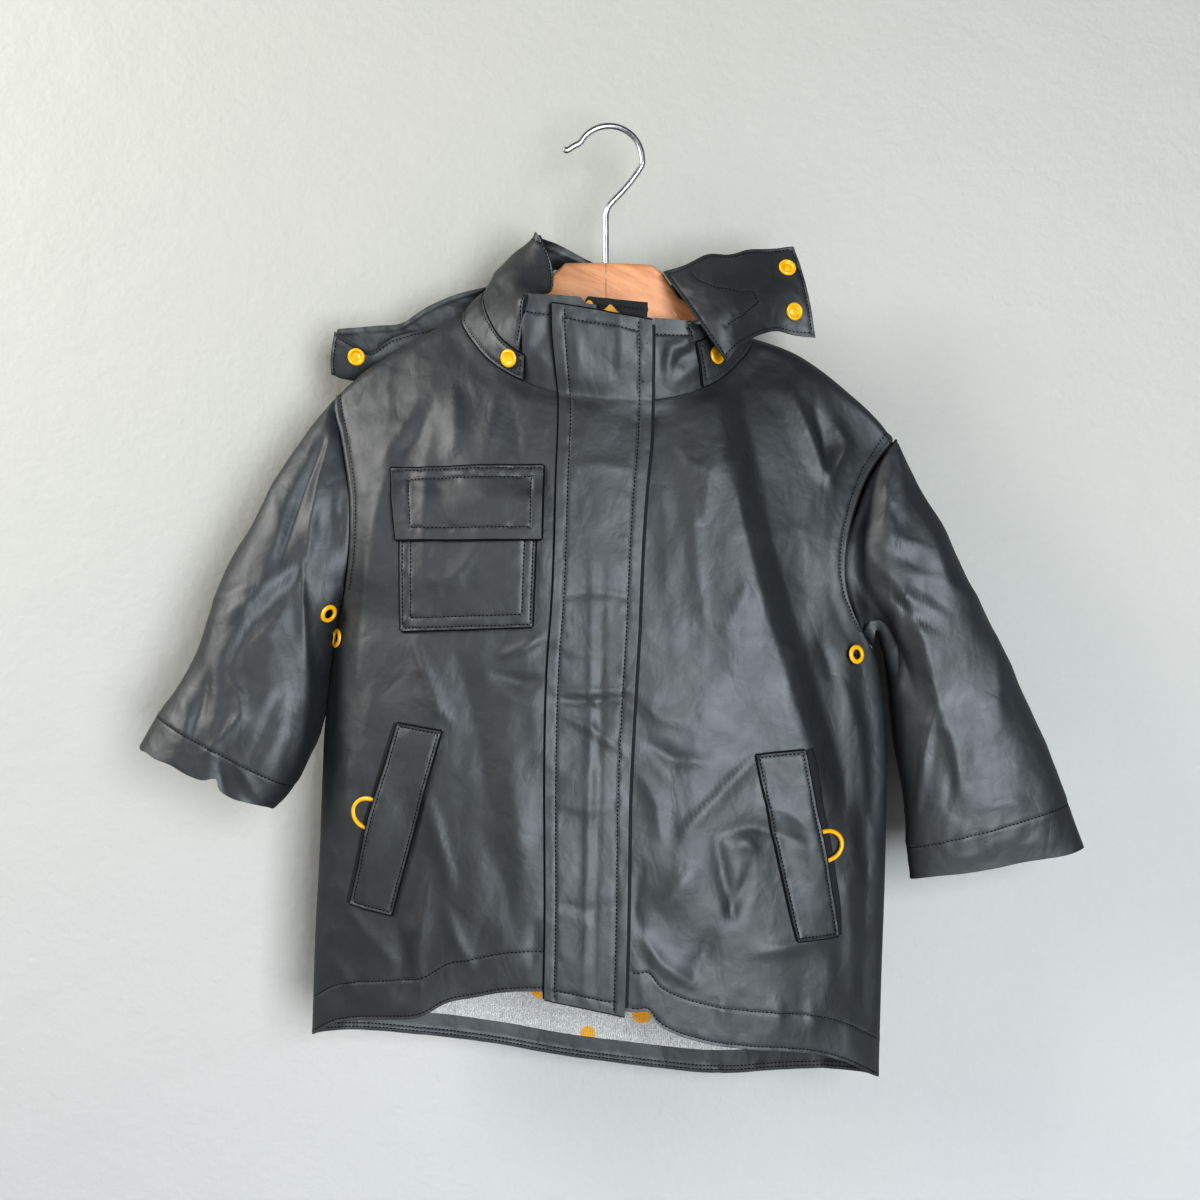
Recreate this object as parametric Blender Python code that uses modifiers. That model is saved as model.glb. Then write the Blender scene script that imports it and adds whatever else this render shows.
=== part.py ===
"""A child's raincoat hung on a wooden hanger, as closed solids in metres.

+X is to the right as the coat is seen from the front, +Y goes to its back and +Z is up.
The origin is the inside top of the hanger's hook. Tables are in millimetres, in the
coat's own frame: x from the centre line, z down from the hook. hang() puts a point of
that frame where the coat really hangs, a little lower on its left side.
"""

import bpy
import bmesh
import numpy as np

MM = 0.001
WALL = 1.6  # coated cloth
RIDGE = 8.0  # radius of the cloth over the hanger's arm

for old in list(bpy.data.objects):
    bpy.data.objects.remove(old, do_unlink=True)


def curve(x, rows):
    """A smooth curve through rows of (x, y), flat outside them."""
    xs, ys = np.array(rows, float).T
    if xs[0] > xs[-1]:
        xs, ys = xs[::-1], ys[::-1]
    x = np.clip(x, xs[0], xs[-1])
    slope = np.gradient(ys, xs)
    i = np.clip(np.searchsorted(xs, x) - 1, 0, len(xs) - 2)
    h = xs[i + 1] - xs[i]
    t = (x - xs[i]) / h
    return (
        ys[i] * (1 + 2 * t) * (1 - t) ** 2
        + h * slope[i] * t * (1 - t) ** 2
        + ys[i + 1] * t * t * (3 - 2 * t)
        + h * slope[i + 1] * t * t * (t - 1)
    )


def hang(x, y, z):
    x = x - 5 + 0.025 * (z + 200)
    return np.stack(np.broadcast_arrays(x, y, z - 0.075 * x), -1).astype(float)


def unhang(x, z):
    z = z + 0.075 * x
    return x + 5 - 0.025 * (z + 200), z


# The coat's outline on the wearer's right (-1) and left (+1).
SHOULDER = {  # x, z of the seam
    -1: ((0, -113), (60, -121), (94, -131), (109, -138.5), (126, -149.5), (147, -163.5), (157, -171), (169, -182.5), (178, -192), (190, -206)),
    1: ((0, -113), (60, -120), (94, -131), (109, -134.5), (124, -139.5), (147, -153), (159, -162), (174, -174), (183, -183), (190, -192), (200, -206)),
}
HALF = {  # z, x of the armhole and then of the side seam
    -1: ((-192, 178), (-205, 175), (-218, 171), (-235, 167), (-256, 162.8), (-276, 161.5), (-297, 162), (-317, 164.8), (-332, 168.5), (-352, 171), (-376, 173.5), (-404, 176), (-440, 177), (-484, 177.5), (-540, 179), (-607, 179.5)),
    1: ((-192, 190), (-205, 180), (-218, 172), (-235, 165), (-251, 160.3), (-267, 157.5), (-284, 157.2), (-300, 160.5), (-316, 168), (-332, 178), (-352, 183), (-376, 186.5), (-404, 188.3), (-440, 188.8), (-484, 188.8), (-540, 188.2), (-607, 188)),
}
EDGE = (  # z, how far the panel's edge lies in front of the ridge, and behind it
    (-185, 0, 0), (-192, 0, 0), (-200, 1.2, -0.2), (-208, 3.8, 0.4), (-218, 7, 1), (-230, 11, 1.6), (-243, 15, 1.8),
    (-256, 18.2, 1.6), (-268, 20.2, 1), (-281, 21, -0.6), (-294, 20.2, -3.4), (-307, 18, -7.6), (-320, 13.6, -13.8),
    (-332, 8.6, -21.4), (-352, 8.45, -21.55), (-607, 8.45, -21.55),
)
DEPTH = (  # z, depth of the front and of the back at the centre
    (-110, 52, 15), (-184, 52, 16), (-230, 54, 17), (-280, 56, 19), (-330, 57, 21), (-400, 58, 22), (-460, 60, 23), (-540, 61, 25), (-607, 59, 26),
)
HEM = {  # x, z
    -1: ((-12, -555.5), (7, -555.5), (29, -555.8), (52, -558.5), (74, -565), (90, -570), (104, -579.5), (128, -585.6), (149, -590), (165, -596), (179.5, -607)),
    1: ((-12, -563), (1, -563), (29, -564.5), (36, -564), (42, -571), (52, -576.5), (70, -581.5), (93, -584.5), (124, -586), (145, -588.5), (165, -594.5), (188, -607)),
}
BACK_HEM = ((-188, -607), (-160, -607.5), (-139, -609), (-116, -611.3), (-90, -613.4), (-64, -616.1), (-31, -620.4), (15, -623.7), (49, -625.1), (84, -624.4), (101, -622.2), (126, -616.6), (152, -611.5), (188, -607))
BACK_NECK = ((0, -146), (30, -145), (60, -142), (80, -138), (90, -134.2), (94, -131))
CENTRE = {-1: 7.0, 1: 1.0}  # where each front ends, beside the zip

FOLDS = (  # x, z to x, z, how wide, how far out
    (-140, -372, -60, -455, 28, 1.8),
    (-75, -470, -60, -560, 28, 1.6),
    (96, -300, 42, -440, 28, 1.8),
    (150, -352, 70, -470, 28, 1.8),
    (62, -440, 130, -545, 28, 1.6),
)


def smooth(x, a, b):
    t = np.clip((x - a) / (b - a), 0, 1)
    return t * t * (3 - 2 * t)


def ridge(drop):
    d = np.clip(drop, 0, RIDGE)
    return np.sqrt(np.maximum(RIDGE**2 - (RIDGE - d) ** 2, 0))


def folds(x, z):
    out = 0.0
    for x0, z0, x1, z1, wide, high in FOLDS:
        dx, dz = x1 - x0, z1 - z0
        t = np.clip(((x - x0) * dx + (z - z0) * dz) / (dx * dx + dz * dz), 0, 1)
        far = np.hypot(x - x0 - t * dx, z - z0 - t * dz)
        out = out + high * np.exp(-((far / wide) ** 2)) * (0.35 + 0.65 * np.sin(np.pi * (0.1 + 0.8 * t)))
    return out


def two_sided(x, rows):
    """A curve of |x| that differs between the coat's two sides."""
    return np.where(x < 0, curve(np.abs(x), rows[-1]), curve(np.abs(x), rows[1]))


def body_y(x, z, front):
    """Depth of the body's outer face at a point of its own frame."""
    x, z = np.broadcast_arrays(np.asarray(x, float), np.asarray(z, float))
    drop = np.maximum(two_sided(x, SHOULDER) - z, 0)
    half = np.where(x < 0, curve(z, HALF[-1]), curve(z, HALF[1]))
    t = np.clip(np.abs(x) / half, 0, 1)
    lens = (1 - t**2.4) ** 0.72
    column = 1 if front else 2
    edge = curve(z, [(row[0], row[column]) for row in EDGE])
    deep = curve(z, [(row[0], row[column]) for row in DEPTH]) - RIDGE
    grow = 1 - np.exp(-((drop / (60 if front else 90)) ** (1.25 if front else 1.2)))
    y = ridge(drop) + edge * (1 - lens) + deep * grow * lens
    if front:
        y = y + folds(x, z) * smooth(lens, 0.05, 0.4) * smooth(drop, 12, 60) * smooth(np.abs(x + 3), 22, 46)
    return -y if front else y


FRONT_ROWS = (  # z at the outer edge, then x and z at the neck and the centre line
    (-192, 94, -131), (-193.1, 94, -132.1), (-196, 94, -135), (-200.5, 93.6, -139.5), (-208, 90.5, -145),
    (-218, 84, -153), (-230, 76, -161.5), (-243, 65, -169.5), (-256, 50, -176.5), (-268, 32, -181.5),
    (-281, None, -184), (-294, None, -192), (-307, None, -203), (-320, None, -217), (-332, None, -233),
    (-352, None, -258), (-378, None, -290), (-408, None, -328), (-440, None, -370), (-474, None, -413),
    (-508, None, -457), (-542, None, -500), (-576, None, -534), (-607, None, -558),
)
UNDERARM, LAST = 14, 23
ACROSS = (0, 0.08, 0.17, 0.26, 0.35, 0.44, 0.52, 0.60, 0.68, 0.75, 0.815, 0.875, 0.925, 0.967, 1)


def shoulder_bow(side, x):
    """How far the shoulder seam bows above a straight line."""
    return curve(x, SHOULDER[side]) - (-131 + (x - 94) * (-192 + 131) / (HALF[side][0][1] - 94))


def front_xz(side, v, f):
    """A point of a front: v counts its rows from the shoulder, f goes from 0 inside to 1 outside."""
    out, inner_x, inner_z = (np.array(c, float) for c in zip(*FRONT_ROWS))
    inner_x = np.where(np.isnan(inner_x), CENTRE[side], inner_x)
    n = np.arange(len(out))
    zo, zi, xi = np.interp(v, n, out), np.interp(v, n, inner_z), np.interp(v, n, inner_x)
    xo = curve(zo, HALF[side])
    x, z = xi + (xo - xi) * f, zi + (zo - zi) * f
    bow = shoulder_bow(side, x) - shoulder_bow(side, xo) * (x - 94) / (xo - 94)
    z = z + bow * np.interp(v, (0, 3, 4, 5, 6, 7, 8, 10), (1, 1, 0.86, 0.7, 0.5, 0.3, 0.15, 0)) * (x > 93.5)
    low = curve(x, HEM[side])
    line = -558 + (-607 + 558) * (x - CENTRE[side]) / (xo - CENTRE[side])
    return x, z + (low - line) * smooth(v, 13, 25) / smooth(23, 13, 25)


def front(side, v, f):
    x, z = front_xz(side, v, f)
    return hang(side * x, body_y(side * x, z, True), z)


def back_columns(side):
    """x of the top edge's columns: the back neck first, then the shoulder."""
    tip = HALF[side][0][1]
    neck = [0, 24, 48, 70, 83, 90.5, 94]
    return neck + [94 + (tip - 94) * f for f in (0.16, 0.33, 0.5, 0.66, 0.8, 0.91, 1)]


BACK_ROWS = (-192, -193.1, -196, -200.5, -208, -218, -230, -243, -256, -268, -281, -294, -307, -320, -332, -356, -388, -424, -462, -500, -538, -574, -607)


def back(u, v):
    """A point of the back: u runs -13..13 over its columns, v over its rows."""
    side = np.where(u < 0, -1, 1)
    n = np.arange(14)
    x0 = np.where(u < 0, np.interp(np.abs(u), n, back_columns(-1)), np.interp(np.abs(u), n, back_columns(1)))
    tip = np.where(u < 0, HALF[-1][0][1], HALF[1][0][1])
    f = x0 / tip
    zo = np.interp(v, np.arange(len(BACK_ROWS)), BACK_ROWS)
    half = np.where(u < 0, curve(zo, HALF[-1]), curve(zo, HALF[1]))
    x = f * half
    top = np.where(x0 <= 94, curve(x0, BACK_NECK), two_sided(x0 * side, SHOULDER))
    x = x0 + (x - x0) * np.maximum(np.clip(v / 4, 0, 1) ** 2, smooth(f, 0.7, 0.98))
    # Rows keep to the top edge first, and level out as they go down.
    z = zo + (top + 192) * np.interp(v, (0, 3, 5, 8, 12, 16, 22), (1, 1, 0.93, 0.76, 0.47, 0.16, 0))
    z = z + (curve(x * side, BACK_HEM) + 607) * smooth(v, 12, 22)
    return hang(x * side, body_y(x * side, z, False), z)


NECK = (  # x and z of the seam at the front (body), then x, y, z of the collar's top
    (None, -184, None, -45.5, -126), (32, -181.5, 33, -45.5, -126), (50, -176.5, 47.5, -44.5, -126),
    (65, -169.5, 53.8, -40.5, -125.5), (76, -161.5, 57.5, -34, -124), (84, -153, 61, -27, -121),
    (90.5, -145, 64, -20, -118), (93.6, -139.5, 67, -13, -114), (94, -135, 68.5, -8, -111.5),
    (94, -132.1, 69.5, -4, -109), (94, -131, 70, 0, -107), (90.5, -134, 69, 6, -104.5),
    (83, -137.2, 65, 11, -102), (70, -140.2, 56, 15.5, -99.5), (48, -143, 38, 19, -97), (24, -145.2, 19, 21, -95.5), (0, -146, 0, 21.5, -95),
)


def neck_ends(q):
    """The collar's seam and top at q, 0 at the right front, 16 at the back, 32 at the left front."""
    side = np.where(q <= 16, -1, 1)
    k = np.where(q <= 16, q, 32 - q)
    cols = []
    for sx in (-1, 1):
        rows = np.array(
            [[CENTRE[sx] if r[0] is None else r[0], r[1], CENTRE[sx] if r[2] is None else r[2], r[3], r[4]] for r in NECK],
            float,
        )
        n = np.arange(len(rows))
        cols.append([np.interp(k, n, rows[:, c]) for c in range(5)])
    x, z, tx, ty, tz = (np.where(q <= 16, a, b) for a, b in zip(*cols))
    tz = tz - np.where(side > 0, 5.5 * smooth(k, 9, 3), 0)
    y = np.where(k <= 10, body_y(side * x, z, True), body_y(side * x, z, False))
    low = hang(side * x, y, z)
    high = hang(side * tx, ty, tz)
    return low, high


def collar(q, h, out=0.0):
    """A point of the collar: h is 0 at the neck seam and 1 at the top, out lifts it off."""
    q, h = np.broadcast_arrays(np.asarray(q, float), np.asarray(h, float))
    low, high = neck_ends(q)
    a, b = neck_ends(np.clip(q - 0.35, 0, 32)), neck_ends(np.clip(q + 0.35, 0, 32))
    rise = high - low
    length = np.linalg.norm(rise, axis=-1, keepdims=True)
    up = rise / length
    along = (b[0] + b[1]) - (a[0] + a[1])
    along /= np.linalg.norm(along, axis=-1, keepdims=True)
    normal = np.cross(up, along)
    normal /= np.linalg.norm(normal, axis=-1, keepdims=True)
    t = (0.6 + h[..., None] * (length - 0.6)) / length
    bulge = 2.0 * np.sin(np.pi * np.clip(h, 0, 1))[..., None]
    return low + rise * t + normal * (bulge + np.asarray(out)[..., None])  # this normal points out


def centre_y(x, z):
    """Depth of the coat's outer face down the middle, up over the collar's front."""
    x, z = np.broadcast_arrays(np.asarray(x, float), np.asarray(z, float))
    seam = curve(np.abs(x), ((0, -184), (32, -181.5), (50, -176.5)))
    low = body_y(x, np.minimum(z, seam), True)
    top = np.where(x < 0, -126.0, -131.5)
    t = np.clip((z - seam) / (top - seam), 0, 1.2)
    return low + (-45.5 - low) * t - 2.0 * np.sin(np.pi * np.clip(t, 0, 1))


def lifted(x, z, lift, depth=None):
    """Points of the coat's front, moved out along its normal."""
    depth = depth or (lambda a, b: body_y(a, b, True))
    e = 1.5
    p = hang(x, depth(x, z), z)
    du = hang(x + e, depth(x + e, z), z) - hang(x - e, depth(x - e, z), z)
    dv = hang(x, depth(x, z - e), z - e) - hang(x, depth(x, z + e), z + e)
    n = np.cross(dv, du)
    n /= np.linalg.norm(n, axis=-1, keepdims=True)
    n *= -np.sign(n[..., 1:2])
    return p + n * np.broadcast_to(np.asarray(lift, float), p.shape[:-1])[..., None]


def patch(corners, nu, nv):
    """A grid of x, z between four corners: inner top, outer top, outer bottom, inner bottom."""
    a, b, c, d = (np.array(p, float) for p in corners)
    u, v = np.meshgrid(np.linspace(0, 1, nu + 1), np.linspace(0, 1, nv + 1), indexing="ij")
    u, v = u[..., None], v[..., None]
    return (a * (1 - u) + b * u) * (1 - v) + (d * (1 - u) + c * u) * v


def spline_grid(rows, nu, nv):
    """A smooth surface through a table of points, rows by columns."""
    rows = np.array(rows, float)

    def along(table, n):
        where = np.linspace(0, len(table) - 1, n + 1)
        keys = np.arange(len(table))
        flat = table.reshape(len(table), -1)
        new = [curve(where, list(zip(keys, flat[:, c]))) for c in range(flat.shape[1])]
        return np.stack(new, -1).reshape((n + 1,) + table.shape[1:])

    return np.swapaxes(along(np.swapaxes(along(rows, nu), 0, 1), nv), 0, 1)


def mesh_object(name, bm):
    mesh = bpy.data.meshes.new(name)
    bm.to_mesh(mesh)
    bm.free()
    made = bpy.data.objects.new(name, mesh)
    bpy.context.scene.collection.objects.link(made)
    return made


def cloth(name, points, outward, wall=WALL, closed=False, thick=True):
    """A sheet through a grid of points in mm, made solid by a wall on its inner side."""
    nu, nv = points.shape[0] - 1, points.shape[1] - 1
    bm = bmesh.new()
    bmesh.ops.create_grid(bm, x_segments=nu, y_segments=nv, size=1.0)
    for v in bm.verts:
        i, j = round((v.co.x + 1) / 2 * nu), round((v.co.y + 1) / 2 * nv)
        v.co = points[i, j] * MM
    if closed:
        bmesh.ops.remove_doubles(bm, verts=bm.verts, dist=1e-5)
    bm.normal_update()
    outward = np.asarray(outward, float)
    facing = 0.0
    for face in bm.faces:
        middle = np.array(face.calc_center_median()) / MM
        away = middle - outward[:3] if len(outward) == 4 else outward
        facing += float(np.dot(np.array(face.normal), away / np.linalg.norm(away))) * face.calc_area()
    if facing < 0:
        bmesh.ops.reverse_faces(bm, faces=bm.faces)
    made = mesh_object(name, bm)
    if thick:
        shell = made.modifiers.new("wall", "SOLIDIFY")
        shell.thickness = wall * MM
        shell.offset = -1.0
    return made


def tube(name, points, radius, sides=8, closed=False):
    """A wire along a path in mm."""
    points = np.array(points, float)
    n = len(points)
    nxt, prv = np.roll(points, -1, 0), np.roll(points, 1, 0)
    if not closed:
        nxt[-1], prv[0] = points[-1], points[0]
    tangent = nxt - prv
    tangent /= np.linalg.norm(tangent, axis=1, keepdims=True)
    side = np.cross(tangent[0], (0, 0.99, 0.12))
    side /= np.linalg.norm(side)
    bm = bmesh.new()
    rings = []
    for p, t in zip(points, tangent):
        side = side - t * np.dot(side, t)
        side /= np.linalg.norm(side)
        other = np.cross(t, side)
        angles = np.arange(sides) * 2 * np.pi / sides
        rings.append([bm.verts.new((p + radius * (np.cos(a) * side + np.sin(a) * other)) * MM) for a in angles])
    pairs = list(zip(rings, rings[1:])) + ([(rings[-1], rings[0])] if closed else [])
    for a, b in pairs:
        for k in range(sides):
            m = (k + 1) % sides
            bm.faces.new((a[k], a[m], b[m], b[k]))
    if not closed:
        bm.faces.new(rings[0][::-1])
        bm.faces.new(rings[-1])
    bmesh.ops.recalc_face_normals(bm, faces=bm.faces)
    return mesh_object(name, bm)


def turned(name, profile, centre, normal, sides=20, ring=False):
    """A snap or an eyelet: a profile of (radius, height) turned about a normal."""
    normal = np.array(normal, float)
    normal /= np.linalg.norm(normal)
    a = np.cross(normal, (0, 0, 1.0) if abs(normal[2]) < 0.9 else (1.0, 0, 0))
    a /= np.linalg.norm(a)
    b = np.cross(normal, a)
    bm = bmesh.new()
    loops = []
    for r, h in profile:
        if r == 0:
            loops.append([bm.verts.new((centre + normal * h) * MM)])
            continue
        loops.append(
            [bm.verts.new((centre + normal * h + r * (np.cos(t) * a + np.sin(t) * b)) * MM) for t in np.arange(sides) * 2 * np.pi / sides]
        )
    pairs = list(zip(loops, loops[1:])) + ([(loops[-1], loops[0])] if ring else [])
    for p, q in pairs:
        for k in range(sides):
            m = (k + 1) % sides
            if len(p) == 1:
                bm.faces.new((p[0], q[k], q[m]))
            elif len(q) == 1:
                bm.faces.new((p[k], p[m], q[0]))
            else:
                bm.faces.new((p[k], p[m], q[m], q[k]))
    bmesh.ops.recalc_face_normals(bm, faces=bm.faces)
    return mesh_object(name, bm)


# ---- the coat's body ----
v, f = np.meshgrid(np.arange(LAST + 1), np.array(ACROSS), indexing="ij")
for side, name in ((-1, "front_right"), (1, "front_left")):
    grid = front(side, v, f)
    grid[0, :, 1] -= 0.65
    cloth(name, grid, (0, -1, 0.1))

u, v = np.meshgrid(np.arange(-13, 14), np.arange(len(BACK_ROWS)), indexing="ij")
grid = back(u, v)
grid[:, 0, 1] += 0.65
cloth("back", grid, (0, 1, 0.1))

q, h = np.meshgrid(np.arange(33), np.array((0, 0.25, 0.5, 0.75, 1)), indexing="ij")
cloth("collar", collar(q, h), (0, 0, -140, 0), wall=1.8)

# ---- sleeves ----
SLEEVE = {  # outer x, z; inner x, z; depth y at the outer and inner edge; half depth in front and behind
    -1: (
        (-187, -184, -177.5, -313, -2, -14, 24, 14), (-198, -199, -184.5, -325, -4, -11, 26, 17),
        (-214.6, -223.4, -189, -341, -7, -8, 28, 20), (-237, -263, -193, -361, -10, -7, 30, 21),
        (-255, -300, -197, -381, -13, -10, 31, 21), (-269, -343, -202, -401, -17, -16, 30, 20),
        (-289.5, -381, -211, -423, -22, -24, 27, 18), (-302.5, -404, -223, -439, -26, -28, 23, 17),
    ),
    1: (
        (188, -208, 172, -331, -2, -14, 24, 14), (200, -232, 177.5, -348, -4, -11, 26, 17),
        (214, -258, 180, -364, -7, -6, 28, 20), (234.4, -303, 183, -388, -9, -5, 28, 20),
        (255.3, -347, 186, -415, -11, -7, 26, 18), (276.2, -392.5, 190.5, -440, -12, -11, 24, 16),
        (292, -434, 191.5, -466, -14, -12, 21, 14), (306, -471.5, 193, -491.5, -15, -13, 17, 13),
    ),
}
ARM_Z = [row[0] for row in FRONT_ROWS[: UNDERARM + 1]]


def armhole(side):
    """The armhole's edge, from the shoulder down the front and up the back, a little off the panels."""
    x = curve(np.array(ARM_Z), HALF[side])
    z = np.array(ARM_Z, float)
    fore = hang(side * x, body_y(side * x, z, True), z)
    aft = hang(side * x, body_y(side * x, z, False), z)
    fore[-1, 1] = aft[-1, 1] = (fore[-1, 1] + aft[-1, 1]) / 2
    fore[0, 1] = aft[0, 1] = 0
    loop = np.concatenate([fore, aft[-2:0:-1]])
    dx, dz = np.gradient(x), np.gradient(z)
    out = np.stack([-dz, 0 * x, dx], -1) / np.hypot(dx, dz)[:, None]
    out = np.concatenate([out, out[-2:0:-1]]) * (side, 1, 1)
    out[0], out[len(ARM_Z) - 1] = (side * 0.9, 0, 0), (side, 0, 0)
    return loop + 0.6 * out


def sleeve(side, k, w):
    """A point of a sleeve: k counts its rows down from the armhole, w goes round 0..28."""
    loop = armhole(side)
    n = len(loop)
    span = np.linalg.norm(np.diff(np.vstack([loop, loop[:1]]), axis=0), axis=1)
    half = len(ARM_Z) - 1
    fore = np.concatenate([[0], np.cumsum(span[:half])]) / span[:half].sum()
    aft = np.concatenate([[0], np.cumsum(span[half:])]) / span[half:].sum()
    even = np.linspace(0, 1, half + 1)
    phi = np.interp(w, np.arange(n + 1), np.concatenate([fore * np.pi, np.pi + aft[1:] * np.pi]))
    level = np.interp(w, np.arange(n + 1), np.concatenate([even * np.pi, np.pi + even[1:] * np.pi]))
    phi = phi + (level - phi) * smooth(k, 0, 4)
    first = np.stack([np.interp(w, np.arange(n + 1), np.append(loop[:, c], loop[0, c])) for c in range(3)], -1)
    rows = np.array(SLEEVE[side], float)
    stack = [first]
    for (ox, oz, ix, iz, oy, iy, fore_d, aft_d), keep in zip(rows, (0.75, 0.45, 0.2, 0, 0, 0, 0, 0)):
        c, s = np.cos(phi), np.sin(phi)
        c = np.sign(c) * np.abs(c) ** 0.92
        mid = (1 + c) / 2
        y = iy + (oy - iy) * mid - np.where(s > 0, fore_d, aft_d) * np.sign(s) * np.abs(s) ** 0.9
        y = y + (first[..., 1] - y) * keep
        stack.append(np.stack([ix + (ox - ix) * mid, y, iz + (oz - iz) * mid], -1))
    stack = np.stack(stack)
    i = np.clip(np.floor(k).astype(int), 0, len(stack) - 2)
    t = (k - i)[..., None]
    take = lambda m: np.take_along_axis(stack, np.clip(m, 0, len(stack) - 1)[None, ..., None], 0)[0]
    p0, p1, p2, p3 = take(i - 1), take(i), take(i + 1), take(i + 2)
    m1, m2 = (p2 - p0) / 2, (p3 - p1) / 2
    m1 = np.where((i == 0)[..., None], p2 - p1, m1)
    m2 = np.where((i == len(stack) - 2)[..., None], p2 - p1, m2)
    return p1 * (1 + 2 * t) * (1 - t) ** 2 + m1 * t * (1 - t) ** 2 + p2 * t * t * (3 - 2 * t) + m2 * t * t * (t - 1)


ROUND = 2 * (len(ARM_Z) - 1)
for side, name in ((-1, "sleeve_right"), (1, "sleeve_left")):
    k, w = np.meshgrid(np.array((0, 0.5, 1, 1.5, 2, 3, 4, 5, 6, 7, 8.0)), np.arange(ROUND + 1.0), indexing="ij")
    cloth(name, sleeve(side, k, w), (side * 225.0, -10, -330, 0), closed=True)

# ---- the front's strip, zip and guard ----
LEFT_OF_FLAP = ((-128, -34.8), (-146, -33.6), (-166, -31), (-182, -29.4), (-240, -29), (-316, -29.4), (-350, -31.2), (-420, -31.2), (-463, -30), (-506, -28.8), (-560, -28.2))
RIGHT_OF_FLAP = ((-134, 28.1), (-165, 28.8), (-211, 29), (-236, 27), (-268, 25.4), (-331, 23.9), (-388, 22), (-431, 21), (-502, 21.6), (-567, 21.4))


def flap_xz(s, v):
    z = (-128 + (-560 + 128) * v) * (1 - s) + (-134 + (-567 + 134) * v) * s
    return curve(z, LEFT_OF_FLAP) * (1 - s) + curve(z, RIGHT_OF_FLAP) * s, z


s, v = np.meshgrid(np.linspace(0, 1, 5), np.linspace(0, 1, 29), indexing="ij")
x, z = flap_xz(s, v)
cloth("storm_flap", lifted(x, z, 0.7 + 2.0, centre_y), (0, -1, 0), wall=2.0)

s, v = np.meshgrid(np.linspace(0, 1, 3), np.array((0, 0.035, 0.07, 0.105, 0.125, 0.14, 0.16, 0.19, 0.23, 0.28, 0.34, 0.42, 0.5, 0.6, 0.7, 0.8, 0.9, 1)), indexing="ij")
cloth("zip_tape", lifted(-18 + 30 * s, -128 - 2.5 * s + (-424 + 2.5 * s) * v, -(WALL + 1.2), centre_y), (0, -1, 0), wall=1.0)
cloth("zip_guard", lifted(-29 + 52 * s, -122 - 7 * s + (-432 + 7 * s) * v, -(WALL + 3.4), centre_y), (0, -1, 0), wall=1.4)

# ---- pockets ----
grid = patch([unhang(*p) for p in ((-46.7, -250), (-134, -250), (-132.8, -330.5), (-49.8, -327.5))], 6, 6)
cloth("chest_pocket", lifted(grid[..., 0], grid[..., 1], 0.9 + WALL), (0, -1, 0))
grid = patch([unhang(*p) for p in ((-43.2, -227), (-140, -227.7), (-135.4, -273.2), (-43.9, -273.6))], 6, 6)
step = 0.7 + WALL + (WALL + 0.9) * smooth(np.linspace(0, 1, 7), 0.12, 0.5)[None, :]
cloth("chest_flap", lifted(grid[..., 0], grid[..., 1], step), (0, -1, 0))

WELT = {-1: ((-96.8, -401), (-124.5, -398.5), (-152, -515.5), (-125.7, -519)), 1: ((99, -401), (127.7, -396), (156, -512.8), (128.2, -515.5))}
RING = {-1: (-137.6, -458.2), 1: (141, -457)}  # where the ring comes out, on the welt's outer edge
for side, name in ((-1, "right"), (1, "left")):
    grid = patch(WELT[side], 3, 12)
    a = np.linspace(0, 1, 4)[:, None]
    b = np.linspace(0, 1, 13)[None, :]
    open_edge = 4.4 * smooth(a, 0.1, 0.85) * np.exp(-(((b - 0.5) / 0.25) ** 2))
    cloth(f"welt_{name}", lifted(grid[..., 0], grid[..., 1], 0.6 + WALL + open_edge), (0, -1, 0))
    x, z = RING[side]
    p = lifted(np.array(x), np.array(z), 2.15)
    ahead = lifted(np.array(x + side * 9), np.array(z), 2.15) - p
    top, low = (lifted(np.array(x + side * dx), np.array(z + dz), 2.15) for dx, dz in ((-2.4, 10.0), (2.4, -10.0)))
    down = (low - top) / np.linalg.norm(low - top)
    ahead = ahead - down * np.dot(ahead, down)
    ahead /= np.linalg.norm(ahead)
    path = [(-3.4, -8.2), (-3.6, -4), (-3.6, 0), (-3.6, 4), (-3.4, 8.2), (-2.4, 9.2), (0, 9.4), (5, 9.2)]
    path += [(5 + 10.8 * np.cos(t), 9.2 * np.sin(t)) for t in np.radians((65, 42, 20, 0, -20, -42, -65))]
    path += [(5, -9.2), (0, -9.4), (-2.4, -9.2)]
    tube(f"ring_{name}", [p + ahead * m + down * n for m, n in path], 1.5, closed=True)

# ---- lining inside the lower back ----
u, v = np.meshgrid(np.array((-11.6, -10, -8.4, -6.6, -4, -2, 0, 2, 4, 6.6, 8.4, 10, 11.6)), np.array((8, 10, 12, 14, 15, 16, 17, 18, 19, 20, 21, 21.55)), indexing="ij")
grid = back(u, v)
grid[..., 1] -= WALL + 0.9
cloth("lining_back", grid, (0, 1, 0), wall=1.2)

# ---- the hood, snapped on round the neck ----
BAND_TOP = {  # how much of the collar's height the hood's band covers, round the neck
    -1: ((0, 0.3), (2.2, 0.32), (3, 0.36), (5, 0.46), (7, 0.56), (10, 0.66), (12, 0.6), (16, 0.5)),
    1: ((0, 0.68), (2.8, 0.68), (4, 0.7), (6, 0.72), (8, 0.72), (10, 0.7), (12, 0.6), (16, 0.5)),
}
BAND_START = {-1: 2.1, 1: 2.75}
for side, name in ((-1, "hood_band_right"), (1, "hood_band_left")):
    k = np.array((BAND_START[side], 3.2, 4, 5, 6, 7, 8, 9, 10, 11, 12, 13))
    h = np.linspace(0, 1, 4)[None, :]
    top = curve(k, BAND_TOP[side])[:, None]
    q = k if side < 0 else 32 - k
    grid = collar(q[:, None] + 0 * h, 0.02 + (top - 0.02) * h, np.full((len(k), 4), 0.6 + WALL))
    cloth(name, grid, (0, 0, -150, 0))

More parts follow.
